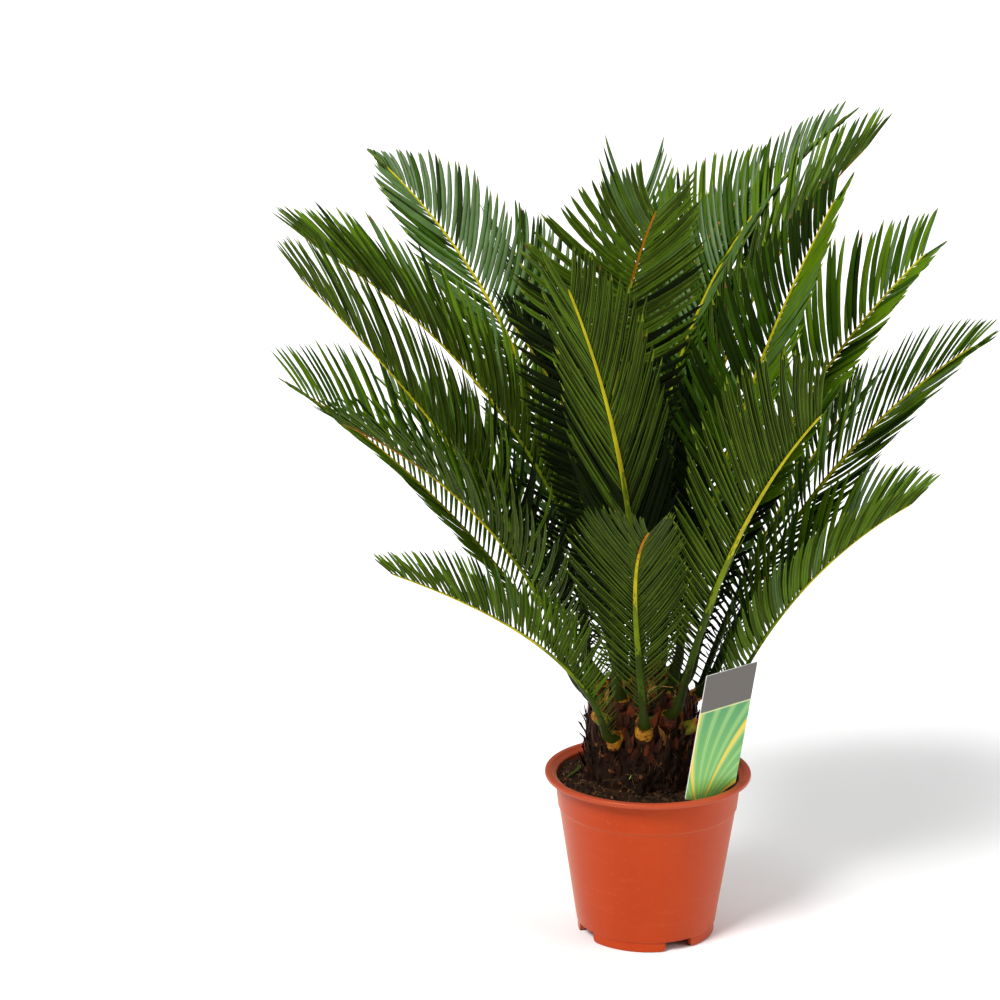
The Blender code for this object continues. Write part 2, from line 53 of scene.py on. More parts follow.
# Pot
POT_SIDES = 176
RIM_RADIUS = 0.085
RIM_MOUTH = 0.0785
POT_HEIGHT = 0.138
LIP_HEIGHT = 0.0042
BAND_TOP_RADIUS = 0.0768
BAND_FOOT_RADIUS = 0.0738
STEP_HEIGHT = 0.108
STEP_DEPTH = 0.0008
BODY_FOOT_RADIUS = 0.0577
FOOT_HEIGHT = 0.0085
FOOT_RADIUS = 0.0567
FOOT_WALL = 0.0042
FLOOR_UNDERSIDE = 0.0065
FLOOR_TOP = FLOOR_UNDERSIDE + 0.002
POT_WALL = 0.0016
FILLET_STEPS = 5
NOTCHES = 4
FIRST_NOTCH_DEG = -61.0
NOTCH_WIDTH = 0.024
NOTCH_TOP = 0.0080
NOTCH_ROUND = 0.0042
NOTCH_EDGES = np.array([-0.00003, 0.00003, 0.0002, 0.0006, 0.0013, 0.0024, 0.0042])
DRAIN_HOLES = 6
DRAIN_RING_RADIUS = 0.036
DRAIN_HOLE_RADIUS = 0.005

# Soil
SOIL_TOP = 0.128
SOIL_BED = 0.1302
SOIL_FLAT_RADIUS = 0.054
SOIL_EDGE_RISE = 0.0010
SOIL_EDGE = 0.0747
SOIL_ROWS, SOIL_SIDES = 92, 230
# Radius and height of the soil's outside under and at the pot's step.
SOIL_WALL = ((0.0692, STEP_HEIGHT - 0.005), (0.0712, STEP_HEIGHT))
CLOD_HEIGHT, CLODS_PER_METRE = 0.0017, 85
GRIT_HEIGHT, GRIT_PER_METRE = 0.0006, 420
BANK_HEIGHT, BANK_RADIUS, BANK_WIDTH = 0.0042, 0.045, 0.009
CRUMBS = 2300
SMALL_CRUMB, LARGE_CRUMB = 0.0003, 0.0014
CRUMB_SHARES = (0.42, 0.34, 0.18, 0.06)
CRUMB_RING = (0.043, SOIL_EDGE - 0.0015)
SOIL_FIBRES = 75
SOIL_FIBRE_RING = (0.050, 0.066)
SOIL_FIBRE_LENGTH = (0.004, 0.017)
SOIL_FIBRE_THICKNESS = (0.00010, 0.00024)
# Finish, both ends, bow, width and height over the soil of the loose leaflet and of the shoot on the trunk's foot.
FALLEN_LEAFLETS = (
    (0, (-0.0665, -0.0120), (-0.0480, 0.0400), -0.0030, 0.0026, 0.0026),
    (1, (-0.0152, -0.0484), (-0.0132, -0.0478), 0.0, 0.0013, 0.0120),
)

# Trunk
TRUNK_X = -0.005
TRUNK_FOOT = SOIL_TOP + CLEAR
DOME_RADIUS = 0.0445
DOME_FOOT = 0.178
DOME_RISE = 0.046
BARREL_SWELL = 0.0028
ROOT_FLARE = 0.0012
BARK_ROWS, BARK_SIDES = 150, 270
BARK_CLIMBS = (-0.16, 1.97)
LUMP_HEIGHT, LUMPS_PER_METRE = 0.0013, 75
RIDGE_HEIGHT, RIDGES_PER_METRE = 0.0011, (520, 520, 60)
PAD_HEIGHT, BARK_SINK = 0.0012, 0.0022
PADS = 130
PAD_CLIMBS = (-0.1, 1.6)
PAD_RADIUS, PAD_CLIMB = 0.046, 0.050
PAD_HALF_WIDTH, PAD_HALF_HEIGHT = 0.0075, 0.0050
GOLDEN_ANGLE = math.radians(137.508)
TRUNK_FIBRES = 520
TRUNK_FIBRE_LENGTH = (0.004, 0.013)
TRUNK_FIBRE_THICKNESS = (0.00010, 0.00022)
# The scales up the trunk: how many, from what climb to what climb, how far they stray round and up, and the ranges that
# their sizes and directions are drawn from.
OLD_BASES = dict(
    count=260, climbs=(-0.12, 1.10), stray=(0.09, 0.03), length=(0.008, 0.0180), width=(0.0030, 0.0072),
    depth=(0.0016, 0.0030), lift=(0.05, 0.36), curl=(-0.25, 0.15), sink=0.0014, fade_power=2.4, lean=0.3,
)
BUD_SCALES = dict(
    count=300, climbs=(0.72, 1.72), stray=(0.08, 0.02), length=(0.010, 0.020), width=(0.0045, 0.0085),
    depth=0.0011, lift=(0.15, 0.55), curl=(0.0, 0.35), sink=0.0010, fade_power=1.7, lean=0.25,
)
SCALE_SECTION = np.array([(-1, 0), (-0.6, 0.55), (0, 0.8), (0.6, 0.55), (1, 0), (0, -0.45)], float)
# Where the torn strand starts, how far it reaches and how it bows.
STRAND = np.array([(-0.0006, -0.0480, 0.2140), (0.0200, -0.0060, 0.0120), (-0.0050, -0.0020, 0.0060)])

# Fronds
FOOT_BEND = 0.030
FOOT_WIDTH = 0.0125
FOOT_DEPTH = 0.0110
RIB_WIDTH_AT_FOOT = 0.0092
RIB_WIDTH_AT_TIP = 0.0018
RIB_TAPER = 1.6
RIB_DEPTH_SHARE = 0.72
RIB_SUNK = 0.004
RIB_END = 0.35
FULL_FROND = 0.45
PATH_STEPS = 160
RISE_POWER = 1.2
SPINES = 9
FIRST_SPINE = 0.022
SPINE_LENGTHS = (0.0016, 0.0055)
SPINE_SIZES = 0.00065 * np.array([1.0, 0.6, 0.08])
FIRST_LEAFLET = 0.075
LEAFLET_PITCH = 0.0058
LEAFLET_WIDTH = 0.0046
USUAL_LEAFLET = 0.085
LEAST_HALF_DEPTH = 0.00045
STUNTED_SHARE, STUNTED_LENGTH = 0.015, 0.6
BROWN_TIP_SHARE, PALE_TIP_SHARE = 0.05, 0.4

# Name, azimuth of the foot, place up the dome, heading and rise at the foot, rise at the tip, length, turn, roll,
# longest leaflet. Metres and degrees.
FRONDS = (
    ("left_top", 150, 30, 148, 88, 32, 0.506, -1, 28, 0.086),
    ("left_upper", 180, 66, 191, 77, 29, 0.438, -17, -5, 0.085),
    ("left_straight", 198, 48, 201, 63, 45, 0.422, -13, 0, 0.085),
    ("left_middle", 207, 30, 212, 70, 27, 0.340, -6, 12, 0.080),
    ("left_wide", 182, 30, 197, 61, 35, 0.360, 2, 30, 0.080),
    ("left_lowest", 243, 2, 260, 56, 19, 0.288, -80, 10, 0.062),
    ("right_tall", 100, 51, 100, 101, 37, 0.436, -72, -25, 0.085),
    ("right_top", 58, 70, 41, 100, 38, 0.484, -27, -8, 0.085),
    ("right_upper", 13, 59, 13, 95, 44, 0.468, -3, 0, 0.080),
    ("right_upright", -50, 49, -34, 81, 64, 0.426, 34, -60, 0.085),
    ("right_straight", -16, 48, -13, 79, 45, 0.408, 20, -45, 0.085),
    ("right_front", -60, 24, -67, 65, 37, 0.384, 3, 0, 0.088),
    ("right_wide", 12, 25, 19, 70, 28, 0.378, 3, -45, 0.075),
    ("right_lowest", -8, 2, -3, 70, 31, 0.260, 3, 6, 0.070),
    ("front_short", 272, 15, 251, 75, 29, 0.268, 32, 0, 0.062),
    ("front_long", 268, 36, 270, 70, 56, 0.414, -32, -20, 0.085),
    ("front_inner", 243, 40, 244, 88, 52, 0.447, 56, 2, 0.080),
    ("front_dark", 236, 62, 215, 88, 50, 0.330, 0, 0, 0.080),
    ("back_upright", 94, 32, 95, 88, 62, 0.400, 0, 0, 0.080),
    ("back_wide", 78, 12, 78, 64, 28, 0.310, 0, 0, 0.080),
    ("back_lowest", 108, 2, 108, 56, 22, 0.270, 0, 0, 0.070),
    ("back_left", 142, 12, 142, 62, 28, 0.330, 0, 0, 0.075),
    ("back_right", 42, 8, 42, 66, 36, 0.320, 0, 0, 0.072),
    ("back_tall", 66, 50, 70, 88, 44, 0.400, 0, 0, 0.080),
    ("back_inner", 130, 51, 122, 82, 38, 0.385, 0, 0, 0.080),
)

RIB_SECTION = np.array(
    [
        (1, 0.05), (0.82, 0.52), (0.42, 0.80), (0, 0.72), (-0.42, 0.80), (-0.82, 0.52),
        (-1, 0.05), (-0.88, -0.48), (-0.50, -0.88), (0, -1.0), (0.50, -0.88), (0.88, -0.48),
    ]
)
RIB_FINISHES = ("cushion_ochre", "stalk_dark", "stalk_green", "rib_green", "rib_yellow", "rib_orange")
OCHRE, STALK, STALK_GREEN, RIB_GREEN, RIB_YELLOW, RIB_ORANGE = range(6)
# How far up the ochre foot goes and how far that strays, in metres. Then the share of the rib at which a finish starts,
# how far that strays, and the finish; the last is for a few fronds.
OCHRE_END, OCHRE_STRAY = 0.0060, 0.0012
RIB_CHANGES = ((0.17, 0.02, STALK_GREEN), (0.34, 0.03, RIB_GREEN), (0.55, 0.04, RIB_YELLOW), (0.80, 0.03, RIB_ORANGE))
ORANGE_TIPPED = ("front_short", "front_inner", "right_tall", "right_upper", "left_middle", "left_wide")

LEAFLET_STATIONS = np.array([0.0, 0.05, 0.13, 0.30, 0.55, 0.80, 0.93, 1.0])
LEAFLET_WIDTHS = np.array([0.50, 0.58, 0.86, 1.0, 0.98, 0.80, 0.46, 0.05])
# Corners round a leaflet: margin, upper face with its sunk midrib, margin, rolled edge, and the keel below.
LEAFLET_SECTION = np.array(
    [
        (-1.0, -0.30), (-0.62, 0.06), (0, -0.12), (0.62, 0.06), (1.0, -0.30),
        (0.64, -0.50), (0.15, -0.26), (0, -0.46), (-0.15, -0.26), (-0.64, -0.50),
    ]
)
LEAFLET_FINISHES = (
    "leaflet_blue_green", "leaflet_green", "leaflet_deep", "leaflet_fresh", "underside_olive", "underside_dark",
    "leaflet_painted_shade", "keel_pale", "rolled_edge_painted_highlight", "leaflet_tip", "leaflet_foot", "leaflet_dry_tip",
)
(
    UPPER_BLUE, UPPER_GREEN, UPPER_DEEP, UPPER_FRESH, UNDER_OLIVE, UNDER_DARK, SHADE, KEEL, EDGE, TIP, BASE, TIP_BROWN
) = range(12)

# How the leaflets stand. Down each side: degrees of vee and of lean towards the tip, and length. Then degrees of bend
# along the frond and of drop from the vee; the share round which they fan out, by how many degrees and from where;
# their width; the shares of the frond where full length starts and ends, and how much of it the tip keeps; the share
# below which the leaflets take the near-black finish as painted shade inside the crown; the tone, and that of the
# right side if it differs; and their spacing.
USUAL_HABIT = dict(
    right=(34, -2, 1.0), left=(34, -2, 1.0), bend=16, lift=10, fan=(0.75, 0, 0.0), width=1.0, full=0.38, tail=0.72,
    tip=0.4, shade=0.35, tone="green", pitch=1.0,
)
LEAFLET_HABITS = dict(
    left_top=dict(
        right=(26, -4, 0.84), left=(10, 8, 0.83), fan=(0.84, 170, 0.84), width=0.94, tail=0.76, tip=0.1, shade=0.3,
        tone="blue",
    ),
    left_upper=dict(right=(45, 6, 1.02), left=(38, 5, 1.0), bend=18, tail=0.8, tip=0.5, shade=0.25, tone="fresh"),
    left_straight=dict(
        right=(32, 0, 1.16), left=(28, 0, 1.28), width=0.78, tail=0.8, tip=0.3, shade=0.4, tone="fresh"
    ),
    left_middle=dict(right=(36, -2, 0.83), left=(30, 8, 1.12), width=0.78, shade=0.15),
    left_wide=dict(right=(24, -4, 1.15), left=(8, 22, 0.7), width=0.88, shade=0.25, tone="bright"),
    left_lowest=dict(
        right=(66, -8, 0.74), left=(66, -6, 0.7), bend=12, lift=4, width=0.7, pitch=0.72, shade=0, tone="fresh"
    ),
    right_tall=dict(right=(50, -10, 1.0), left=(38, -6, 1.02), full=0.5, shade=0.5, tone="fresh"),
    right_top=dict(right=(0, 24, 0.72), left=(30, -4, 0.82), full=0.5, tail=0.64, shade=0.5, tone="blue"),
    right_upper=dict(right=(45, 4, 1.0), left=(40, -1, 1.1), shade=0.4, tone="bright"),
    right_upright=dict(
        right=(20, 14, 0.9), left=(45, 0, 0.9), tail=0.62, tip=0.3, shade=0.42, tone="deep", right_tone="bright"
    ),
    right_straight=dict(right=(10, 6, 0.54), left=(32, -3, 1.0), shade=0.4, tone="fresh"),
    right_front=dict(
        right=(54, -4, 1.05), left=(50, -8, 0.62), full=0.64, tail=0.8, tip=0.6, pitch=0.9, shade=0.15, tone="deep"
    ),
    right_wide=dict(right=(25, 20, 0.88), left=(58, 4, 1.0), bend=12, lift=0, width=0.8, shade=0.3, tone="mild"),
    right_lowest=dict(
        right=(52, 2, 0.67), left=(60, 4, 1.07), bend=22, lift=6, pitch=0.8, shade=0.1, tone="bright"
    ),
    front_short=dict(
        right=(22, 3, 1.2), left=(24, 11, 1.05), bend=18, lift=6, width=0.84, pitch=0.76, shade=0.1, tone="dusky"
    ),
    front_long=dict(
        right=(40, 4, 1.03), left=(35, 3, 1.02), fan=(0.88, -32, 0.0), pitch=0.9, shade=0.5, tone="dusky",
        right_tone="green",
    ),
    front_inner=dict(
        right=(10, -18, 1.12), left=(8, -14, 0.82), bend=22, lift=8, fan=(0.88, 100, 0.80), width=1.16, pitch=0.74,
        full=0.68, tail=0.8, tip=0.62, shade=0.68, tone="bright",
    ),
    front_dark=dict(shade=1, tone="deep"),
    back_upright=dict(full=0.5, tip=0.8, shade=0.6, tone="blue"),
    back_tall=dict(full=0.5, shade=0.5, tone="blue"),
    back_inner=dict(full=0.5, tip=0.6, shade=0.5, tone="blue"),
)
# How often a leaflet's upper face and its lower face have each of the finishes that it may have.
UPPER_CHOICES = (UPPER_BLUE, UPPER_GREEN, UPPER_DEEP, UPPER_FRESH)
UNDER_CHOICES = (UNDER_OLIVE, UNDER_DARK, UPPER_BLUE, UPPER_FRESH)
TONES = {
    "blue": ((0.75, 0.15, 0.10, 0.0), (0.15, 0.20, 0.60, 0.05)),
    "green": ((0.10, 0.55, 0.20, 0.15), (0.40, 0.50, 0.0, 0.10)),
    "fresh": ((0.12, 0.28, 0.05, 0.55), (0.72, 0.08, 0.0, 0.20)),
    "bright": ((0.15, 0.20, 0.0, 0.65), (0.40, 0.0, 0.10, 0.50)),
    # Partly painted shade: the deep and dusky tones deal mostly the darkest greens, for fronds and sides that stand in
    # shade; the rest is the leaves' own darker tone.
    "deep": ((0.0, 0.35, 0.65, 0.0), (0.15, 0.85, 0.0, 0.0)),
    "mild": ((0.10, 0.55, 0.15, 0.20), (0.45, 0.40, 0.0, 0.15)),
    "dusky": ((0.0, 0.18, 0.76, 0.06), (0.25, 0.75, 0.0, 0.0)),
}

# Half height, half width, depth, drop and stand-off of the cushions under the stalks at the front.
CUSHIONS = {
    "front_short": (0.0098, 0.0086, 0.0088, 0.0064, 0.0026),
    "left_lowest": (0.0092, 0.0066, 0.0090, 0.0040, 0.0048),
    "right_lowest": (0.0080, 0.0076, 0.0060, 0.0040, 0.0016),
    "right_front": (0.0080, 0.0070, 0.0070, 0.0046, 0.0020),
}
PLAIN_CUSHION = (0.0060, 0.0066, 0.0050, 0.0030, 0.0010)
BRIGHT_CUSHIONS = ("front_short", "left_lowest", "right_lowest")
# Fronds whose foot on the dome points up more than this have no cushion.
CUSHION_LIMIT = 0.8

# Name, azimuth and place up the dome of the cut leaf bases, and the places and sizes along each.
LEAF_BASES = (("leaf_base_left", 226, 14), ("leaf_base_right", -36, 6), ("leaf_base_back", 60, 2))
STUB_STATIONS = np.array([-0.25, 0.0, 0.2, 0.45, 0.7, 0.9, 1.0, 1.0, 0.93])
STUB_SIZES = np.array([1.1, 1.08, 1.02, 0.94, 0.86, 0.80, 0.74, 0.62, 0.3])
STUB_LENGTH, STUB_HALF_WIDTH, STUB_HALF_DEPTH, STUB_RISE_DEG = 0.0128, 0.0062, 0.0056, 48

# Label
LABEL_AZIMUTH_DEG = -45.0
LABEL_REACH = 0.0712
LABEL_WIDTH = 0.058
LABEL_HEIGHT = 0.110
LABEL_LEAN_DEG = 11.0
LABEL_THICKNESS = 0.0008
LABEL_SHOULDER_WIDTH = 0.032
LABEL_SHOULDER_DEPTH = 0.0036
LABEL_STAKE_WIDTH = 0.020
LABEL_STAKE_DEPTH = 0.0128
LABEL_HEAD = 0.0772
LABEL_LAYERS = np.array([-0.5, -0.32, 0.32, 0.5])
LABEL_INSET = np.array([0.9965, 1.0, 1.0, 0.9965])
# How far aside and below the label's foot its blades fan out from, how they bow with their reach, and how fast their
# three kinds change with the bearing.
FAN_ASIDE, FAN_BELOW, FAN_BOW = 0.020, 0.018, -3.5
PALE_RATE, DARK_RATE, YELLOW_RATE = 34.0, 170.0, 8.5

# Natural finishes: darker and lighter colour in screen values, patches per metre, roughness, depth of the grain, how
# many patches go upright for one across, and detail.
GRAINED = {
    "peat": ((20, 12, 6), (56, 36, 22), 150, 0.92, 0.0006, 1, 6),
    "peat_dark": ((14, 9, 5), (36, 23, 14), 300, 0.92, 0.0003),
    "peat_brown": ((44, 28, 17), (78, 52, 34), 300, 0.92, 0.0003),
    "peat_grey": ((66, 50, 36), (100, 80, 60), 300, 0.9, 0.0003),
    "wood_chip": ((96, 60, 30), (136, 94, 54), 300, 0.85, 0.0003),
    "straw_fibre": ((86, 62, 38), (140, 108, 70), 400, 0.85, 0.0001),
    "bark": ((12, 8, 5), (50, 31, 19), 150, 0.92, 0.0008, 0.22, 7),
    "bark_red": ((24, 11, 6), (76, 36, 17), 150, 0.85, 0.0006, 0.25, 6),
    "scar": ((66, 34, 17), (122, 74, 40), 220, 0.85, 0.0004, 0.5),
    "scale_russet": ((52, 20, 9), (122, 56, 24), 170, 0.6, 0.0004, 0.3, 5),
    "scale_brown": ((26, 14, 8), (72, 40, 22), 170, 0.7, 0.0004, 0.3, 5),
    "scale_straw": ((110, 66, 28), (170, 122, 60), 170, 0.7, 0.0004, 0.3, 5),
    "cushion_ochre": ((124, 74, 14), (186, 130, 34), 190, 0.6, 0.0004, 1, 6),
    "cushion_brown": ((84, 42, 12), (140, 84, 24), 190, 0.7, 0.0004, 1, 6),
    "cushion_green": ((96, 100, 26), (160, 152, 44), 190, 0.55, 0.0003, 1, 5),
    "tan_strand": ((130, 92, 50), (176, 136, 84), 300, 0.7, 0.0001),
    "label_edge": ((214, 214, 208), (232, 232, 228), 300, 0.4, 0.00002),
}
# Leathery finishes: colour in screen values, and where they differ from the usual, roughness and gloss.
LEATHERY = {
    "fallen_green": (56, 74, 18),
    "fallen_bright": (150, 180, 90),
    "stalk_dark": (38, 48, 8),
    "stalk_green": (50, 68, 10),
    "rib_green": (104, 120, 14),
    "rib_yellow": (172, 162, 24),
    "rib_orange": (164, 104, 16),
    "spine_green": (62, 80, 14),
    # Blue-green: partly the leaf's own waxy upper face, partly painted reflection of the white surroundings.
    "leaflet_blue_green": (72, 100, 46, 0.42, 0.2),
    "leaflet_green": (46, 74, 5),
    # Partly painted shade: leaflet_deep is leaflet_green darkened to about six tenths, for fronds that stand in shade.
    "leaflet_deep": (27, 44, 3),
    "leaflet_fresh": (80, 110, 10, 0.42, 0.08),
    "underside_olive": (50, 63, 9, 0.50),
    "underside_dark": (22, 32, 3, 0.50),
    # Painted shade: the near-black green dealt to the leaflets low in the crown.
    "leaflet_painted_shade": (15, 24, 3, 0.55),
    "keel_pale": (60, 76, 15, 0.45),
    # Painted highlight: the rolled margins are lighter than the blade, to stand for the light that catches them.
    "rolled_edge_painted_highlight": (78, 102, 22, 0.45),
    "leaflet_tip": (108, 124, 30, 0.45),
    "leaflet_foot": (104, 120, 20, 0.45),
    "leaflet_dry_tip": (110, 78, 42, 0.6),
}

# Studio. Name, place, strength and softness in degrees of each lamp.
LAMPS = (("key", (-1.5, -1.9, 2.7), 3.5, 22), ("fill", (2.6, -1.0, 1.6), 1.0, 40), ("top", (0.3, 1.0, 3.0), 1.4, 40))
WORLD_STRENGTH = 0.17
FLOOR_REACH = 60.0
FLOOR_DROP = 0.0004
CAMERA_PLACE = (0.0, -2.0, 0.854)
CAMERA_LENS = 92.16
CAMERA_DOWN_DEG = 13.74
CAMERA_TURN_DEG = 3.49


# Numbers and directions


def lattice(i, j, k, seed):
    """A repeatable value from 0 to 1 for each whole-number cell: the numbers times large primes, mixed bit by bit."""
    a, b, c, d = (number * prime for number, prime in zip((i, j, k, seed), CELL_PRIMES))
    bits = a ^ b ^ c ^ d
    bits = (bits ^ (bits >> 13)) * MIXING_PRIME
    return ((bits ^ (bits >> 16)) & 0xFFFF) / 65535.0


def noise(points, seed=0):
    """Smooth noise from -1 to 1: the eight corner values of each unit cell, blended by smoothstep on each axis."""
    cell = np.floor(points).astype(np.int64)
    part = points - cell
    part = part * part * (3 - 2 * part)
    total = np.zeros(points.shape[:-1])
    for corner in itertools.product((0, 1), repeat=3):
        weight = np.ones(points.shape[:-1])
        for axis in range(3):
            weight = weight * (part[..., axis] if corner[axis] else 1 - part[..., axis])
        total += weight * lattice(*(cell[..., axis] + corner[axis] for axis in range(3)), seed)
    return total * 2 - 1


def layered(points, octaves, seed=0):
    """Noise added to itself at twice the scale and half the height, over and over."""
    return sum(noise(points * 2**k, seed + k) / 2**k for k in range(octaves))


def wobbled(points, size, scale, octaves, seed):
    """Points moved along each axis by layered noise of its own."""
    return points + size * np.stack([layered(points * scale, octaves, seed + axis) for axis in range(3)], axis=1)


def unit(vectors):
    """Vectors at length 1."""
    return vectors / np.maximum(np.linalg.norm(vectors, axis=-1, keepdims=True), 1e-12)


def squared(vectors, ahead):
    """The part of vectors that is square to unit directions, at length 1."""
    return unit(vectors - (vectors * ahead).sum(axis=-1, keepdims=True) * ahead)


def rolled(side, up, angle):
    """Two square directions turned in their own plane by an angle, from its cosine and sine."""
    cos, sin = np.cos(angle), np.sin(angle)
    return cos * side + sin * up, cos * up - sin * side


def directions(points, axis):
    """Unit directions along paths: the differences of the points on both sides, at length 1."""
    return unit(np.gradient(points, axis=axis))


def even_angles(count):
    """Angles at an even pitch round a full turn."""
    return 2 * np.pi * np.arange(count) / count


def around(angle):
    """The level unit direction at each angle: its cosine, its sine and zero."""
    return np.stack([np.cos(angle), np.sin(angle), np.zeros_like(angle)], axis=-1)


def ring_section(corners):
    """A round section: the cosine and sine of even angles."""
    return around(even_angles(corners))[:, :2]


def filleted(corners):
    """A line whose corners are rounded: each corner (x, y, r) becomes a quadratic curve from r before it to r after."""
    path = []
    for k, (x, y, r) in enumerate(corners):
        here = np.array([x, y])
        if r == 0:
            path.append(here)
            continue
        before, after = (np.array(corners[near][:2]) - here for near in (k - 1, k + 1))
        start, end = (here + way * min(0.5, r / np.linalg.norm(way)) for way in (before, after))
        t = np.linspace(0, 1, FILLET_STEPS + 1)[:, None]
        path.extend((1 - t) ** 2 * start + 2 * t * (1 - t) * here + t**2 * end)
    return np.array(path)


# Meshes


def enclosed(points, faces):
    """Six times the volume inside the faces: positive when they point outwards."""
    total = 0.0
    for group in faces:
        for k in range(1, group.shape[1] - 1):
            a, b, c = points[group[:, 0]], points[group[:, k]], points[group[:, k + 1]]
            total += (a * np.cross(b, c)).sum()
    return total


class Piece:
    """Gathers closed surfaces into one mesh, with a finish number for each face and a place on the pattern."""

    def __init__(self):
        self.points, self.faces, self.finishes, self.places = [], [], [], []
        self.count = 0

    def add(self, points, faces, finishes, places=None):
        """Adds groups of faces of one corner count each, turned round together if they point inwards."""
        points = np.asarray(points, float).reshape(-1, 3)
        if enclosed(points, faces) < 0:
            faces = [group[:, ::-1] for group in faces]
        for group, finish in zip(faces, finishes):
            self.faces.append(group + self.count)
            self.finishes.append(np.broadcast_to(np.asarray(finish), (len(group),)))
        self.points.append(points)
        self.places.append(np.zeros((len(points), 2)) if places is None else places)
        self.count += len(points)

    def add_bars(self, shape, side_finish, cap_finish, places=None):
        """Adds bars. The finishes are arrays by bar, station and side, and by bar and end."""
        points, quads, caps = shape
        sides = np.broadcast_to(side_finish, quads.shape[:3]).ravel()
        ends = np.broadcast_to(cap_finish, caps.shape[:2]).ravel()
        self.add(points, [quads.reshape(-1, 4), caps.reshape(-1, caps.shape[2])], [sides, ends], places)

    def build(self, name, materials, sharp_deg=None, patterned=False):
        """The object at the origin, with its place in its mesh."""
        sizes = np.concatenate([np.full(len(group), group.shape[1]) for group in self.faces])
        corners = np.concatenate([group.ravel() for group in self.faces]).astype(np.int32)
        points = np.concatenate(self.points).astype(np.float32)
        mesh = bpy.data.meshes.new(name)
        mesh.vertices.add(len(points))
        mesh.vertices.foreach_set("co", points.ravel())
        mesh.loops.add(len(corners))
        mesh.loops.foreach_set("vertex_index", corners)
        mesh.polygons.add(len(sizes))
        mesh.polygons.foreach_set("loop_start", (np.cumsum(sizes) - sizes).astype(np.int32))
        for material in materials:
            mesh.materials.append(material)
        mesh.polygons.foreach_set("material_index", np.concatenate(self.finishes).astype(np.int32))
        mesh.update(calc_edges=True)
        if patterned:
            layer = mesh.uv_layers.new(name="pattern")
            layer.uv.foreach_set("vector", np.concatenate(self.places)[corners].astype(np.float32).ravel())
        mesh.validate()
        mesh.shade_smooth()
        if sharp_deg:
            mesh.set_sharp_from_angle(angle=math.radians(sharp_deg))
        made = bpy.data.objects.new(name, mesh)
        bpy.context.scene.collection.objects.link(made)
        return made


def bars(centres, across, normal, half_width, half_depth, section):
    """Closed bars: at each station of each path, the section's two numbers run along across and normal times the
    half sizes. Gives the points, the side quads by bar, station and side, and the two end caps of each bar."""
    count, stations, _ = centres.shape
    points = centres[:, :, None]
    for way, size, numbers in ((across, half_width, section[:, 0]), (normal, half_depth, section[:, 1])):
        way = np.broadcast_to(way, centres.shape)[:, :, None]
        points = points + np.broadcast_to(size, (count, stations))[:, :, None, None] * way * numbers[:, None]
    index = np.arange(count * stations * len(section)).reshape(count, stations, len(section))
    after = np.roll(index, -1, axis=2)
    quads = np.stack([index[:, :-1], after[:, :-1], after[:, 1:], index[:, 1:]], axis=-1)
    caps = np.stack([index[:, 0, ::-1], index[:, -1]], axis=1)
    return points.reshape(-1, 3), quads, caps


def bar_piece(name, shape, side_finish, cap_finish, materials, sharp_deg=None):
    """A piece made of bars alone."""
    piece = Piece()
    piece.add_bars(shape, side_finish, cap_finish)
    return piece.build(name, materials, sharp_deg)


def turned_piece(name, points, poles, finishes, materials, sharp_deg=None):
    """A skin over points by row and column: quads joined round, and a fan at each end round its pole."""
    rows, columns, _ = points.shape
    index = np.arange(rows * columns).reshape(rows, columns)
    after = np.roll(index, -1, axis=1)
    quads = np.stack([index[:-1], after[:-1], after[1:], index[1:]], axis=-1).reshape(-1, 4)
    low = np.stack([np.full(columns, rows * columns), after[0], index[0]], axis=1)
    high = np.stack([np.full(columns, rows * columns + 1), index[-1], after[-1]], axis=1)
    piece = Piece()
    piece.add(np.concatenate([points.reshape(-1, 3), poles]), [quads, np.concatenate([low, high])], finishes)
    return piece.build(name, materials, sharp_deg)


# Finishes


def linear(red, green, blue):
    """A colour given in screen values from 0 to 255, as linear light."""
    share = np.array([red, green, blue]) / 255
    light = np.where(share <= 0.04045, share / 12.92, ((share + 0.055) / 1.055) ** 2.4)
    return (*[float(v) for v in light], 1.0)


def node(tree, kind, values=(), **settings):
    """Adds a node with its settings. Each value is a socket and a number or another node's output."""
    made = tree.nodes.new(kind)
    for key, value in settings.items():
        setattr(made, key, value)
    for socket, value in values:
        if isinstance(value, bpy.types.NodeSocket):
            tree.links.new(value, made.inputs[socket])
        else:
            made.inputs[socket].default_value = value
    return made


def new_finish(name, **sockets):
    """A material with its Principled shader, whose constant sockets are set directly."""
    material = bpy.data.materials.new(name)
    material.use_nodes = True
    shader = material.node_tree.nodes["Principled BSDF"]
    for socket, value in sockets.items():
        shader.inputs[socket.replace("_", " ")].default_value = value
    return material, material.node_tree, shader


def speckle(tree, scale, detail, upright=1.0):
    """Noise on Object coordinates, with its upright scale changed by a Mapping node. Gives its value from 0 to 1."""
    place = node(tree, "ShaderNodeTexCoord").outputs["Object"]
    place = node(tree, "ShaderNodeMapping", [("Vector", place), ("Scale", (1, 1, upright))]).outputs[0]
    values = [("Vector", place), ("Scale", scale), ("Detail", detail), ("Roughness", NOISE_ROUGHNESS)]
    return node(tree, "ShaderNodeTexNoise", values).outputs["Fac"]


def spread(tree, value, low, high, bottom=0.0, top=1.0):
    """Stretches a value from low..high to bottom..top, and stops at both ends."""
    values = [("Value", value), ("From Min", low), ("From Max", high), ("To Min", bottom), ("To Max", top)]
    return node(tree, "ShaderNodeMapRange", values).outputs[0]


def mixed(tree, share, first, second):
    """Two colours mixed by a share."""
    return node(tree, "ShaderNodeMix", [(0, share), (6, first), (7, second)], data_type="RGBA").outputs[2]


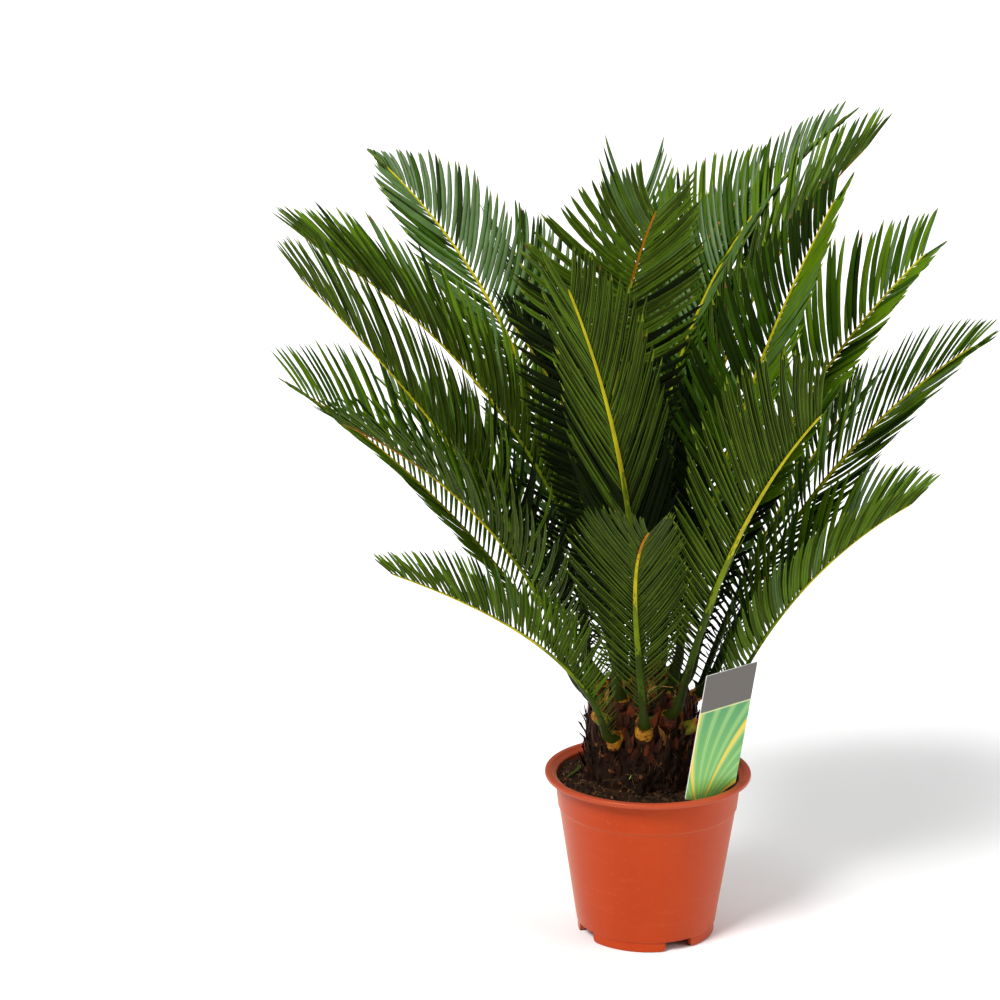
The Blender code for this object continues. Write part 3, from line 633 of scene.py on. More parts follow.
def coated(tree, colour, *coats):
    """A colour with coats over it, each with the share that it covers and its screen values."""
    for share, over in coats:
        colour = mixed(tree, share, colour, linear(*over))
    return colour


def arithmetic(tree, operation, *values):
    """One Math node."""
    return node(tree, "ShaderNodeMath", enumerate(values), operation=operation).outputs[0]


def distance(tree, value, middle):
    """How far a value is from a middle one."""
    return arithmetic(tree, "ABSOLUTE", arithmetic(tree, "SUBTRACT", value, middle))


def finish_of(tree, shader, colour, roughness, height, depth):
    """Links colour, roughness and a bump of this depth in metres to the shader."""
    bump = node(tree, "ShaderNodeBump", [("Strength", 1.0), ("Distance", depth), ("Height", height)])
    tree.links.new(colour, shader.inputs["Base Color"])
    tree.links.new(roughness, shader.inputs["Roughness"])
    tree.links.new(bump.outputs[0], shader.inputs["Normal"])


def grained(name, dark, light, scale, roughness, depth, upright=1.0, detail=4.0, gloss=0.1):
    """A natural finish: two colours mixed by noise, roughness and bump from finer noise."""
    material, tree, shader = new_finish(name, Specular_IOR_Level=gloss)
    broad = spread(tree, speckle(tree, scale, detail, upright), 0.3, 0.7)
    fine = speckle(tree, scale * 5, 2.0, upright)
    rough = spread(tree, fine, 0.2, 0.8, roughness - 0.1, min(1.0, roughness + 0.1))
    finish_of(tree, shader, mixed(tree, broad, dark, light), rough, fine, depth)
    return material


def leathery(name, red, green, blue, roughness=0.46, gloss=0.05):
    """A leathery leaf: one plain colour, a little lighter and darker by noise, with a fine grain."""
    colour = np.array(linear(red, green, blue)[:3])
    dark, light = ((*[float(v) for v in colour * part], 1.0) for part in (0.80, 1.18))
    return grained(name, dark, light, 95.0, roughness, 0.00004, 0.4, 2.0, gloss)


def terracotta_finish():
    """Injection-moulded plastic: even colour with soft cloudy patches, fine grain, and pale dust under lip and step."""
    material, tree, shader = new_finish(
        "terracotta_plastic", Specular_IOR_Level=0.3, Specular_Tint=linear(255, 214, 178), Sheen_Weight=0.35,
        Sheen_Roughness=0.35, Sheen_Tint=linear(255, 190, 140),
    )
    cloud = spread(tree, speckle(tree, 14.0, 4.0, 0.6), 0.3, 0.7)
    height = node(tree, "ShaderNodeSeparateXYZ", [(0, node(tree, "ShaderNodeTexCoord").outputs["Object"])]).outputs[2]
    colour = coated(
        tree,
        mixed(tree, cloud, linear(168, 52, 12), linear(178, 59, 15)),
        (spread(tree, speckle(tree, 420.0, 1.0), 0.66, 0.74, 0.0, 0.12), (204, 116, 84)),
        (spread(tree, height, POT_HEIGHT - 0.006, POT_HEIGHT - 0.0035, 0.0, 0.55), (168, 76, 52)),
        (spread(tree, distance(tree, height, STEP_HEIGHT - 0.0006), 0.0, 0.0030, 0.05, 0.0), (214, 140, 104)),
        (spread(tree, speckle(tree, 30.0, 6.0, 9), 0.58, 0.70, 0.0, 0.06), (214, 130, 96)),
    )
    finish_of(tree, shader, colour, spread(tree, cloud, 0.0, 1.0, 0.34, 0.46), speckle(tree, 900.0, 2.0), 0.00005)
    return material


def label_finish():
    """Printed card: under a grey-brown head and a pale line, a green field of blades that fan out from below, where
    sines of the bearing from the fan's foot, bowed by the reach, mix in paler, darker and yellow blades."""
    material, tree, shader = new_finish("label_print", Specular_IOR_Level=0.5)
    place = node(tree, "ShaderNodeUVMap", uv_map="pattern").outputs[0]
    across, up, _ = node(tree, "ShaderNodeSeparateXYZ", [(0, place)]).outputs
    aside = arithmetic(tree, "SUBTRACT", across, FAN_ASIDE)
    above = arithmetic(tree, "ADD", up, FAN_BELOW)
    squares = arithmetic(tree, "MULTIPLY_ADD", aside, aside, arithmetic(tree, "MULTIPLY", above, above))
    reach = arithmetic(tree, "SQRT", squares)
    bowed = arithmetic(tree, "MULTIPLY_ADD", reach, FAN_BOW, arithmetic(tree, "ARCTAN2", aside, above))
    pale, dark, yellow = (
        arithmetic(tree, "SINE", arithmetic(tree, "MULTIPLY", bowed, rate))
        for rate in (PALE_RATE, DARK_RATE, YELLOW_RATE)
    )
    colour = coated(
        tree,
        mixed(tree, spread(tree, reach, 0.02, 0.115), linear(126, 196, 92), linear(38, 140, 84)),
        (spread(tree, pale, -0.2, 0.9, 0.0, 0.5), (176, 220, 126)),
        (spread(tree, dark, 0.2, 1.0, 0.0, 0.25), (24, 96, 50)),
        (spread(tree, yellow, 0.90, 0.985), (232, 206, 66)),
        (spread(tree, up, LABEL_HEAD, LABEL_HEAD + 0.0004), (86, 80, 75)),
        (spread(tree, distance(tree, up, LABEL_HEAD - 0.0008), 0.0004, 0.0007, 1.0, 0.0), (214, 206, 150)),
    )
    grain = speckle(tree, 1500.0, 1.0)
    finish_of(tree, shader, colour, spread(tree, grain, 0.3, 0.7, 0.28, 0.38), grain, 0.00001)
    return material


# Pot


def body_radius(height):
    """The pot's outer radius below the step, a straight taper to the foot."""
    share = (height - FOOT_HEIGHT) / (STEP_HEIGHT - FOOT_HEIGHT)
    return BODY_FOOT_RADIUS + share * (BAND_FOOT_RADIUS - STEP_DEPTH - BODY_FOOT_RADIUS)


def pot_section():
    """The pot's section up the outside, over the rolled lip and down the inside, with rounded corners."""
    under_lip = POT_HEIGHT - LIP_HEIGHT
    return filleted(
        [
            (0.001, FLOOR_UNDERSIDE, 0),
            (FOOT_RADIUS - FOOT_WALL, FLOOR_UNDERSIDE, 0.0004),
            (FOOT_RADIUS - FOOT_WALL, 0.0, 0.0005),
            (FOOT_RADIUS, 0.0, 0.0007),
            (FOOT_RADIUS, FOOT_HEIGHT - 0.0008, 0.0002),
            (BODY_FOOT_RADIUS, FOOT_HEIGHT, 0.0004),
            (body_radius(0.058), 0.058, 0.01),
            (body_radius(STEP_HEIGHT - 0.0008), STEP_HEIGHT - 0.0008, 0.0003),
            (BAND_FOOT_RADIUS, STEP_HEIGHT, 0.0004),
            (BAND_TOP_RADIUS, under_lip, 0.0010),
            (RIM_RADIUS - 0.0006, under_lip, 0.0006),
            (RIM_RADIUS, under_lip + 0.0014, 0.0010),
            (RIM_RADIUS - 0.0003, POT_HEIGHT - 0.0008, 0.0010),
            (RIM_RADIUS - 0.0016, POT_HEIGHT, 0.0012),
            (RIM_MOUTH + 0.0014, POT_HEIGHT, 0.0014),
            (RIM_MOUTH, POT_HEIGHT - 0.0016, 0.0012),
            (BAND_TOP_RADIUS - POT_WALL, under_lip + 0.0007, 0.0012),
            (BAND_FOOT_RADIUS - POT_WALL, STEP_HEIGHT, 0.0006),
            (body_radius(STEP_HEIGHT - 0.004) - POT_WALL, STEP_HEIGHT - 0.004, 0.0006),
            (body_radius(FLOOR_TOP) - POT_WALL, FLOOR_TOP, 0.0010),
            (0.001, FLOOR_TOP, 0),
        ]
    )


def notch_lift(angle):
    """How high the foot ring's underside stands at each angle: NOTCH_TOP in a notch, and a quarter round beside it."""
    spacing = 2 * np.pi / NOTCHES
    away = (angle - math.radians(FIRST_NOTCH_DEG) + spacing / 2) % spacing - spacing / 2
    past = np.abs(away) * FOOT_RADIUS - NOTCH_WIDTH / 2
    share = np.clip(1 - past / NOTCH_ROUND, 0.0, 1.0)
    return np.where(past < 0, NOTCH_TOP, NOTCH_ROUND * (1 - np.sqrt(1 - share * share)))


def make_pot(material):
    """The turned shell on a grid of section by angle. The foot's lowest points are lifted in the notches, and the
    drain holes are cut through the floor."""
    section = pot_section()
    beside = (NOTCH_WIDTH / 2 + NOTCH_EDGES) / FOOT_RADIUS
    notches = math.radians(FIRST_NOTCH_DEG) + even_angles(NOTCHES)[:, None]
    extra = np.concatenate([notches + beside, notches - beside]).ravel()
    angle = np.unique(np.round(np.concatenate([even_angles(POT_SIDES), extra]) % (2 * np.pi), 7))
    radius, height = section[:, 0, None], section[:, 1, None]
    lift = np.where(height < NOTCH_TOP, notch_lift(angle)[None], 0.0)
    inner = radius < FOOT_RADIUS - FOOT_WALL / 2
    lift = np.where(inner, np.minimum(lift, FLOOR_UNDERSIDE - 0.0002), lift)
    height = np.where(radius > FOOT_RADIUS - FOOT_WALL - 0.0001, np.maximum(height, lift), height)
    points = radius[..., None] * around(angle) + height[..., None] * UP
    shell = turned_piece("pot_shell", points, np.outer(section[[0, -1], 1], UP), [0, 0], [material], 40)
    rods = np.zeros((DRAIN_HOLES, 2, 3))
    rods[:, :, :2] = DRAIN_RING_RADIUS * ring_section(DRAIN_HOLES)[:, None]
    rods[:, :, 2] = [FLOOR_UNDERSIDE - 0.003, FLOOR_TOP + 0.003]
    shape = bars(rods, *np.eye(3)[:2], DRAIN_HOLE_RADIUS, DRAIN_HOLE_RADIUS, ring_section(24))
    tool = bar_piece("drain_tool", shape, 0, 0, [material])
    cut = shell.modifiers.new("drain holes", "BOOLEAN")
    cut.operation, cut.object = "DIFFERENCE", tool
    bpy.context.view_layer.update()
    mesh = bpy.data.meshes.new_from_object(shell.evaluated_get(bpy.context.evaluated_depsgraph_get()))
    shell.modifiers.clear()
    shell.data = mesh
    bpy.data.objects.remove(tool)
    return shell


# Soil


def on_soil(x, y, over=0.0):
    """Points over the soil's surface: flat round the trunk, up a little to the wall, with clods, grit and a bank
    against the trunk."""
    share = np.clip((np.hypot(x, y) - SOIL_FLAT_RADIUS) / (SOIL_EDGE - SOIL_FLAT_RADIUS), 0.0, 1.0)
    place = np.stack([x, y, 0 * x], axis=-1)
    clods = CLOD_HEIGHT * layered(place * CLODS_PER_METRE, 3, 5)
    grit = GRIT_HEIGHT * np.abs(layered(place * GRIT_PER_METRE, 2, 9))
    bank = BANK_HEIGHT * np.exp(-(((np.hypot(x - TRUNK_X, y) - BANK_RADIUS) / BANK_WIDTH) ** 2))
    return np.stack([x, y, SOIL_BED + SOIL_EDGE_RISE * share + clods + grit + bank + over], axis=-1)


def make_soil(material):
    """A grid of radius by angle on the soil's surface, closed down the wall and across the pot's floor."""
    angle = even_angles(SOIL_SIDES)
    radius = np.linspace(0.0006, SOIL_EDGE - 0.0002, SOIL_ROWS)[::-1, None]
    floor = FLOOR_TOP + CLEAR
    wall = [(0.001, floor), (body_radius(floor) - 0.0024, floor), *SOIL_WALL]
    skirt = [far * around(angle) + height * UP for far, height in wall]
    points = np.concatenate([skirt, on_soil(radius * np.cos(angle), radius * np.sin(angle))])
    poles = np.concatenate([[floor * UP], on_soil(np.zeros(1), np.zeros(1))])
    return turned_piece("soil_bed", points, poles, [0, 0], [material])


# The corners of a twenty-sided lump with edges 2 long: a golden rectangle square to each axis.
GOLDEN_RATIO = 1.618
ICOSA_POINTS = np.array(
    [np.roll((s, t * GOLDEN_RATIO, 0), shift) for shift in range(3) for s in (-1, 1) for t in (-1, 1)], float
)


def icosa_faces():
    """The twenty triples of corners that lie one edge apart, each turned outwards."""
    near = np.abs(np.linalg.norm(ICOSA_POINTS[:, None] - ICOSA_POINTS[None], axis=2) - 2.0) < 0.1
    faces = []
    for a, b, c in itertools.combinations(range(12), 3):
        if near[a, b] and near[b, c] and near[a, c]:
            faces.append((a, b, c) if np.linalg.det(ICOSA_POINTS[[a, b, c]]) > 0 else (a, c, b))
    return np.array(faces)


def random_turns(count, random):
    """Turning matrices from random unit quaternions."""
    w, x, y, z = unit(random.normal(size=(count, 4))).T
    rows = [
        [1 - 2 * (y * y + z * z), 2 * (x * y - z * w), 2 * (x * z + y * w)],
        [2 * (x * y + z * w), 1 - 2 * (x * x + z * z), 2 * (y * z - x * w)],
        [2 * (x * z - y * w), 2 * (y * z + x * w), 1 - 2 * (x * x + y * y)],
    ]
    return np.array(rows).transpose(2, 0, 1)


def strewn(random, inner, outer, count):
    """Random places on a ring, evenly over its area: radius and angle."""
    return np.sqrt(random.uniform(inner**2, outer**2, count)), random.uniform(0, 2 * np.pi, count)


def make_crumbs(materials):
    """Crumbs of peat lying in the soil: uneven twenty-sided lumps, each stretched and turned at random."""
    random = np.random.default_rng(21)
    radius, angle = strewn(random, *CRUMB_RING, CRUMBS)
    size = SMALL_CRUMB + (LARGE_CRUMB - SMALL_CRUMB) * random.random(CRUMBS) ** 3
    shape = random.uniform(0.7, 1.25, (CRUMBS, 12, 1)) * ICOSA_POINTS / 1.9
    shape = shape * random.uniform(0.65, 1.2, (CRUMBS, 1, 3)) * size[:, None, None]
    shape = np.einsum("nij,nkj->nki", random_turns(CRUMBS, random), shape)
    centre = on_soil(radius * np.cos(angle), radius * np.sin(angle), size * 0.25)
    faces = (icosa_faces()[None] + 12 * np.arange(CRUMBS)[:, None, None]).reshape(-1, 3)
    finish = np.repeat(random.choice(4, CRUMBS, p=CRUMB_SHARES), 20)
    piece = Piece()
    piece.add(shape + centre[:, None], [faces], [finish])
    return piece.build("soil_crumbs", materials, 50)


def make_soil_fibres(material):
    """Hair roots and dry needles lying on the soil: thin round bars that set out at random and turn evenly."""
    random = np.random.default_rng(33)
    count, stations = SOIL_FIBRES, 9
    radius, angle = strewn(random, *SOIL_FIBRE_RING, count)
    heading = random.uniform(0, 2 * np.pi, (count, 1))
    step = random.uniform(*SOIL_FIBRE_LENGTH, (count, 1)) / (stations - 1)
    bearing = heading + random.normal(0, 1.2, (count, 1)) * np.linspace(0, 1, stations)
    x = (radius * np.cos(angle))[:, None] + np.cumsum(np.cos(bearing) * step, axis=1)
    y = (radius * np.sin(angle))[:, None] + np.cumsum(np.sin(bearing) * step, axis=1)
    pull = np.minimum(1.0, CRUMB_RING[1] / np.hypot(x, y))
    arch = 0.0012 * random.random((count, 1)) * np.sin(np.linspace(0, np.pi, stations))
    thick = random.uniform(*SOIL_FIBRE_THICKNESS, (count, 1)) * np.array([0.4] + [1.0] * (stations - 2) + [0.4])
    centres = on_soil(x * pull, y * pull, 0.0003 + arch)
    shape = bars(centres, np.cross(UP, around(bearing)), UP, thick, thick, ring_section(5))
    return bar_piece("soil_fibres", shape, 0, 0, [material])


def make_fallen_leaflets(materials):
    """A loose leaflet lying on the soil at the left, and a green shoot at the front: bent flat bars on the surface."""
    piece = Piece()
    t = np.linspace(0, 1, 12)[:, None]
    for finish, start, end, bow, width, over in FALLEN_LEAFLETS:
        start, end = np.array(start), np.array(end)
        across = np.array([start[1] - end[1], end[0] - start[0], 0.0]) / np.linalg.norm(end - start)
        flat = start + (end - start) * t + bow * np.sin(np.pi * t) * across[:2]
        centres = on_soil(*flat.T, over + 0.0030 * t[:, 0] ** 2)
        half = width / 2 * np.sqrt(np.maximum(0.02, 1 - (2 * t[:, 0] - 1) ** 4))
        face = np.cross(across, directions(centres, 0))
        piece.add_bars(bars(centres[None], across, face, half, half * 0.3, ring_section(8)), finish, finish)
    return piece.build("fallen_leaflets", materials, 40)


# Trunk


def barrel_radius(height):
    """The trunk's radius below the dome: a slight swell, and a small flare at the cut."""
    share = (height - TRUNK_FOOT) / (DOME_FOOT - TRUNK_FOOT)
    swell = BARREL_SWELL * np.maximum(0.0, np.sin(np.pi * np.minimum(1.0, 0.35 + 0.65 * share))) ** 1.2
    return DOME_RADIUS + swell + ROOT_FLARE * (1 - share) ** 3


def trunk_skin(angle, climb):
    """Point, outward normal and upward tangent of the trunk. The climb runs 0 to 1 up the barrel and 1 to 2 up the
    dome, an ellipse turned round the trunk's axis."""
    angle, climb = np.broadcast_arrays(angle, climb)
    place = np.radians(90) * np.clip(climb - 1, 0.0, 1.0)
    barrel_height = TRUNK_FOOT + np.minimum(climb, 1.0) * (DOME_FOOT - TRUNK_FOOT)
    radius = np.where(climb <= 1, barrel_radius(barrel_height), DOME_RADIUS * np.cos(place))
    height = np.where(climb <= 1, barrel_height, DOME_FOOT + DOME_RISE * np.sin(place))
    out = around(angle)
    point = out * radius[..., None] + [TRUNK_X, 0.0, 0.0]
    point[..., 2] = height
    normal = out * (np.cos(place) / DOME_RADIUS)[..., None]
    normal[..., 2] += np.sin(place) / DOME_RISE
    normal = unit(normal)
    return point, normal, np.cross(normal, np.cross(UP, out))


def make_trunk(materials):
    """The trunk's bark on a grid of climb by angle: lumps, upright fibre ridges and the lozenges of old leaf bases."""
    angle = even_angles(BARK_SIDES)
    climb = np.linspace(*BARK_CLIMBS, BARK_ROWS)[:, None]
    point, normal, _ = trunk_skin(angle, climb)
    ridges = 1 - np.abs(noise(point * RIDGES_PER_METRE, 3)) * 2
    lumps = layered(point * LUMPS_PER_METRE, 3, 4)
    turn = (angle[:, None] - GOLDEN_ANGLE * np.arange(PADS) + np.pi) % (2 * np.pi) - np.pi
    rise = climb[..., None] - np.linspace(*PAD_CLIMBS, PADS)
    nearest = np.hypot(turn * PAD_RADIUS / PAD_HALF_WIDTH, rise * PAD_CLIMB / PAD_HALF_HEIGHT).min(axis=2)
    pads = np.clip(1 - nearest, 0, 1) ** 0.5
    relief = LUMP_HEIGHT * lumps + RIDGE_HEIGHT * ridges + PAD_HEIGHT * pads - BARK_SINK
    point = point + relief[..., None] * normal
    red = lumps + 0.5 * noise(point * 300, 8)
    finish = np.where((pads > 0.78) & (red > 0.42) & (climb > 0.25), 2, np.where(climb > 1.02, 1, 0))
    poles = point[[0, -1]].mean(axis=1) + [[0, 0, 0], [0, 0, 0.0003]]
    return turned_piece("trunk_bark", point, poles, [finish[:-1].ravel(), 1], materials)


def scale_bars(random, count, climbs, stray, length, width, depth, lift, curl, sink, fade_power, lean):
    """Scales up the trunk in a golden-angle spiral. From the skin each runs up its tangent, stands off by its lift and
    curls back by its curl, with a width that fades by a power to its end. Gives the climbs and the bars."""
    angle = GOLDEN_ANGLE * np.arange(count) + random.normal(0, stray[0], count)
    climb = np.linspace(*climbs, count) + random.normal(0, stray[1], count)
    length = random.uniform(*length, (count, 1, 1))
    width = random.uniform(*width, (count, 1))
    depth = random.uniform(*depth, (count, 1)) if np.ndim(depth) else depth
    lift = random.uniform(*lift, (count, 1))
    curl = random.uniform(*curl, (count, 1))
    t = np.linspace(0, 1, 7)
    point, normal, up = trunk_skin(angle, climb)
    up = unit(up + random.normal(0, lean, (count, 1)) * np.cross(up, normal))
    side = np.cross(up, normal)[:, None]
    along = t[None, :, None] * up[:, None]
    off = (lift * t - curl * t * t)[..., None] * normal[:, None]
    centres = (point - sink * normal)[:, None] + length * (along + off)
    fade = (1 - t**fade_power) * (0.75 + 0.6 * t * (1 - t) * 2)
    fade[-1] = 0.04
    half_depth = depth / 2 * (0.35 + 0.65 * fade)
    face = np.cross(side, directions(centres, 1))
    return climb, *bars(centres, side, face, width / 2 * fade, half_depth, SCALE_SECTION)


def make_old_bases(materials):
    """Torn flakes of old leaf bases up the barrel in a golden-angle spiral: ragged, pointed and close to the bark."""
    random = np.random.default_rng(44)
    climb, points, quads, caps = scale_bars(random, **OLD_BASES)
    points = wobbled(points, 0.0011, [430, 430, 240], 3, 61)
    red = random.random(len(climb)) < np.where(climb > 0.5, 0.26, 0.05)
    body = np.repeat(red[:, None, None].astype(int), quads.shape[1], axis=1)
    torn = (random.random(len(climb)) < 0.10) & (climb > 0.1)
    body[:, -2:] = np.where(torn[:, None, None], 2, body[:, -2:])
    return bar_piece("old_leaf_bases", (points, quads, caps), body, body[:, [0, -1], 0], materials, 60)


def make_bud_scales(materials):
    """Dry papery scales between the leaf stalks: pointed blades that lie up the dome, in russet, brown and straw."""
    random = np.random.default_rng(55)
    climb, points, quads, caps = scale_bars(random, **BUD_SCALES)
    points = wobbled(points, 0.0004, 260, 2, 71)
    tint = random.choice(3, len(climb), p=[0.40, 0.52, 0.08])[:, None]
    return bar_piece("bud_scales", (points, quads, caps), tint[..., None], tint, materials, 60)


def make_curled_strand(material):
    """A thin torn strand that curls out over the crown's front: a thin round bar, bowed by a sine."""
    t = np.linspace(0, 1, 17)[:, None]
    start, reach, bow = STRAND
    centres = start + reach * t + bow * np.sin(np.pi * t**0.8)
    ahead = directions(centres, 0)
    across = unit(np.cross(ahead, [0.0, 1.0, 0.3]))
    thick = 0.0008 * (1 - 0.6 * t[:, 0])
    shape = bars(centres[None], across, np.cross(across, ahead), thick, thick * 0.7, ring_section(8))
    return bar_piece("curled_strand", shape, 0, 0, [material], 50)


def make_trunk_fibres(materials):
    """Loose fibres of torn leaf bases: hair-thin round bars that stand off the bark and curl."""
    random = np.random.default_rng(66)
    count = TRUNK_FIBRES
    angle = random.uniform(0, 2 * np.pi, count)
    climb = random.uniform(0.0, 1.55, count)
    length = random.uniform(*TRUNK_FIBRE_LENGTH, (count, 1, 1))
    t = np.linspace(0, 1, 8)
    point, normal, up = trunk_skin(angle, climb)
    side = np.cross(up, normal)
    tilt = random.normal(0, 0.8, (count, 1))
    start = unit(np.cos(tilt) * up + np.sin(tilt) * side + random.uniform(0.1, 0.7, (count, 1)) * normal)
    bow = random.normal(0, 0.5, (count, 1)) * side - random.uniform(0, 0.5, (count, 1)) * normal
    run = t[None, :, None] * start[:, None] + (t * t)[None, :, None] * bow[:, None]
    centres = (point + 0.0008 * normal)[:, None] + length * run
    ahead = directions(centres, 1)
    across = unit(np.cross(ahead, normal[:, None]))
    thick = random.uniform(*TRUNK_FIBRE_THICKNESS, (count, 1)) * (1 - 0.7 * t)
    tint = (random.random((count, 1)) < 0.35).astype(int)
    shape = bars(centres, across, np.cross(across, ahead), thick, thick, ring_section(4))
    return bar_piece("trunk_fibres", shape, tint[..., None], tint, materials)


# Fronds


def dome_place(azimuth, place):
    """A point a hair off the crown's dome, and the dome's outward normal there."""
    out, place = around(math.radians(azimuth)), math.radians(place)
    normal = unit(out * math.cos(place) / DOME_RADIUS + UP * math.sin(place) / DOME_RISE)
    middle = np.array([TRUNK_X, 0.0, DOME_FOOT + DOME_RISE * math.sin(place)])
    return middle + out * DOME_RADIUS * math.cos(place) + CLEAR * normal, normal


class Frond:
    """One frond's path and directions, as the source grows it: squarely off the dome, bent up, then arching over."""

    def __init__(self, index, row):
        self.index = index
        self.place, azimuth, place, heading, rise_foot, rise_tip, self.length, turn, roll, self.longest = row
        self.name = "frond_" + self.place
        self.habit = USUAL_HABIT | LEAFLET_HABITS.get(self.place, {})
        self.start, self.normal = dome_place(azimuth, place)
        s = np.linspace(0.0, 1.0, PATH_STEPS + 1)
        rise = np.radians(rise_foot + (rise_tip - rise_foot) * s**RISE_POWER)[:, None]
        level = around(np.radians(heading + turn * s))
        bend = np.clip(s * self.length / FOOT_BEND, 0.0, 1.0)[:, None]
        bend = bend * bend * (3 - 2 * bend)
        ahead = unit(self.normal * (1 - bend) + (np.cos(rise) * level + np.sin(rise) * UP) * bend)
        steps = (ahead[1:] + ahead[:-1]) * 0.5 * self.length / PATH_STEPS
        points = self.start + np.concatenate([np.zeros((1, 3)), np.cumsum(steps, axis=0)])
        side = squared(np.cross(level, UP), ahead)
        self.grid = (s, points, ahead, *rolled(side, np.cross(side, ahead), math.radians(roll)))

    def at(self, s):
        """Point, direction, sideways and upward directions at shares of the length."""
        grid, *fields = self.grid
        point, *ways = (np.stack([np.interp(s, grid, column) for column in field.T], axis=-1) for field in fields)
        return [point] + [unit(way) for way in ways]

    def rib_size(self, s):
        """Half width and half depth of the rib, from its swollen foot to its fine tip."""
        scale = min(1.0, 0.5 + 0.5 * self.length / FULL_FROND)
        left = np.maximum(0.0, 1 - s)
        width = RIB_WIDTH_AT_TIP + (RIB_WIDTH_AT_FOOT * scale - RIB_WIDTH_AT_TIP) * left**RIB_TAPER
        depth = width * RIB_DEPTH_SHARE
        swell = np.maximum(0.0, 1 - s * self.length / FOOT_BEND)
        return (width + (FOOT_WIDTH - width) * swell) / 2, (depth + (FOOT_DEPTH - depth) * swell) / 2


def make_ribs(fronds, materials):
    """Each rib is a grooved round section carried along the frond's path. Its colours run from ochre at the foot
    through dark green to yellow-green, dealt out face by face where two meet."""
    random = np.random.default_rng(77)
    piece = Piece()
    for frond in fronds:
        bend = FOOT_BEND / frond.length
        s = np.concatenate([np.linspace(0, bend, 15)[:-1], np.linspace(bend, 1.0, 74)])
        centre, _, side, up = frond.at(s)
        wide, deep = frond.rib_size(s)
        wide[-1] *= RIB_END
        deep[-1] *= RIB_END
        centre = np.concatenate([centre[:1] - RIB_SUNK * frond.normal, centre])
        side, up, wide, deep = (np.concatenate([field[:1], field]) for field in (side, up, wide, deep))
        reach = np.concatenate([[0], s])[1:, None] * frond.length
        share = reach / frond.length
        jitter = random.normal(0, 1, (len(s), len(RIB_SECTION)))
        finish = np.where(reach + OCHRE_STRAY * jitter > OCHRE_END, STALK, OCHRE)
        for start, stray, later in RIB_CHANGES if frond.place in ORANGE_TIPPED else RIB_CHANGES[:-1]:
            finish = np.where(share + stray * jitter > start, later, finish)
        shape = bars(centre[None], side, up, wide, deep, RIB_SECTION)
        piece.add_bars(shape, finish[None], np.array([[OCHRE, RIB_YELLOW]]))
    return piece.build("frond_ribs", materials, 70)


def make_spines(fronds, material):
    """Short spines down both sides of each stalk below the first leaflets: four-sided bars that fade to a point."""
    random = np.random.default_rng(88)
    piece = Piece()
    for frond in fronds:
        s = np.linspace(FIRST_SPINE / frond.length, FIRST_LEAFLET + 0.004, SPINES)
        for hand in (-1, 1):
            at = s + random.normal(0, 0.0008, SPINES) / frond.length
            centre, ahead, side, up = frond.at(at)
            wide, deep = frond.rib_size(at)
            root = centre + hand * side * wide[:, None] * 0.8 + up * deep[:, None] * 0.3
            out = unit(hand * side * 0.85 + ahead * 0.45 + up * 0.35)
            length = np.linspace(*SPINE_LENGTHS, SPINES) * random.uniform(0.8, 1.2, SPINES)
            t = np.array([0.0, 0.45, 1.0])
            centres = root[:, None] + length[:, None, None] * t[None, :, None] * out[:, None]
            across = squared(ahead, out)
            normal, deep = np.cross(out, across)[:, None], SPINE_SIZES * 0.8
            piece.add_bars(bars(centres, across[:, None], normal, SPINE_SIZES, deep, ring_section(4)), 0, 0)
    return piece.build("stalk_spines", [material])


def leaflet_angle(s):
    """Angle from the rib: wide at the foot, pointing well forward at the tip."""
    return np.radians(70 - 24 * np.minimum(1.0, s / 0.5) - 25 * np.clip((s - 0.5) / 0.5, 0.0, 1.0))


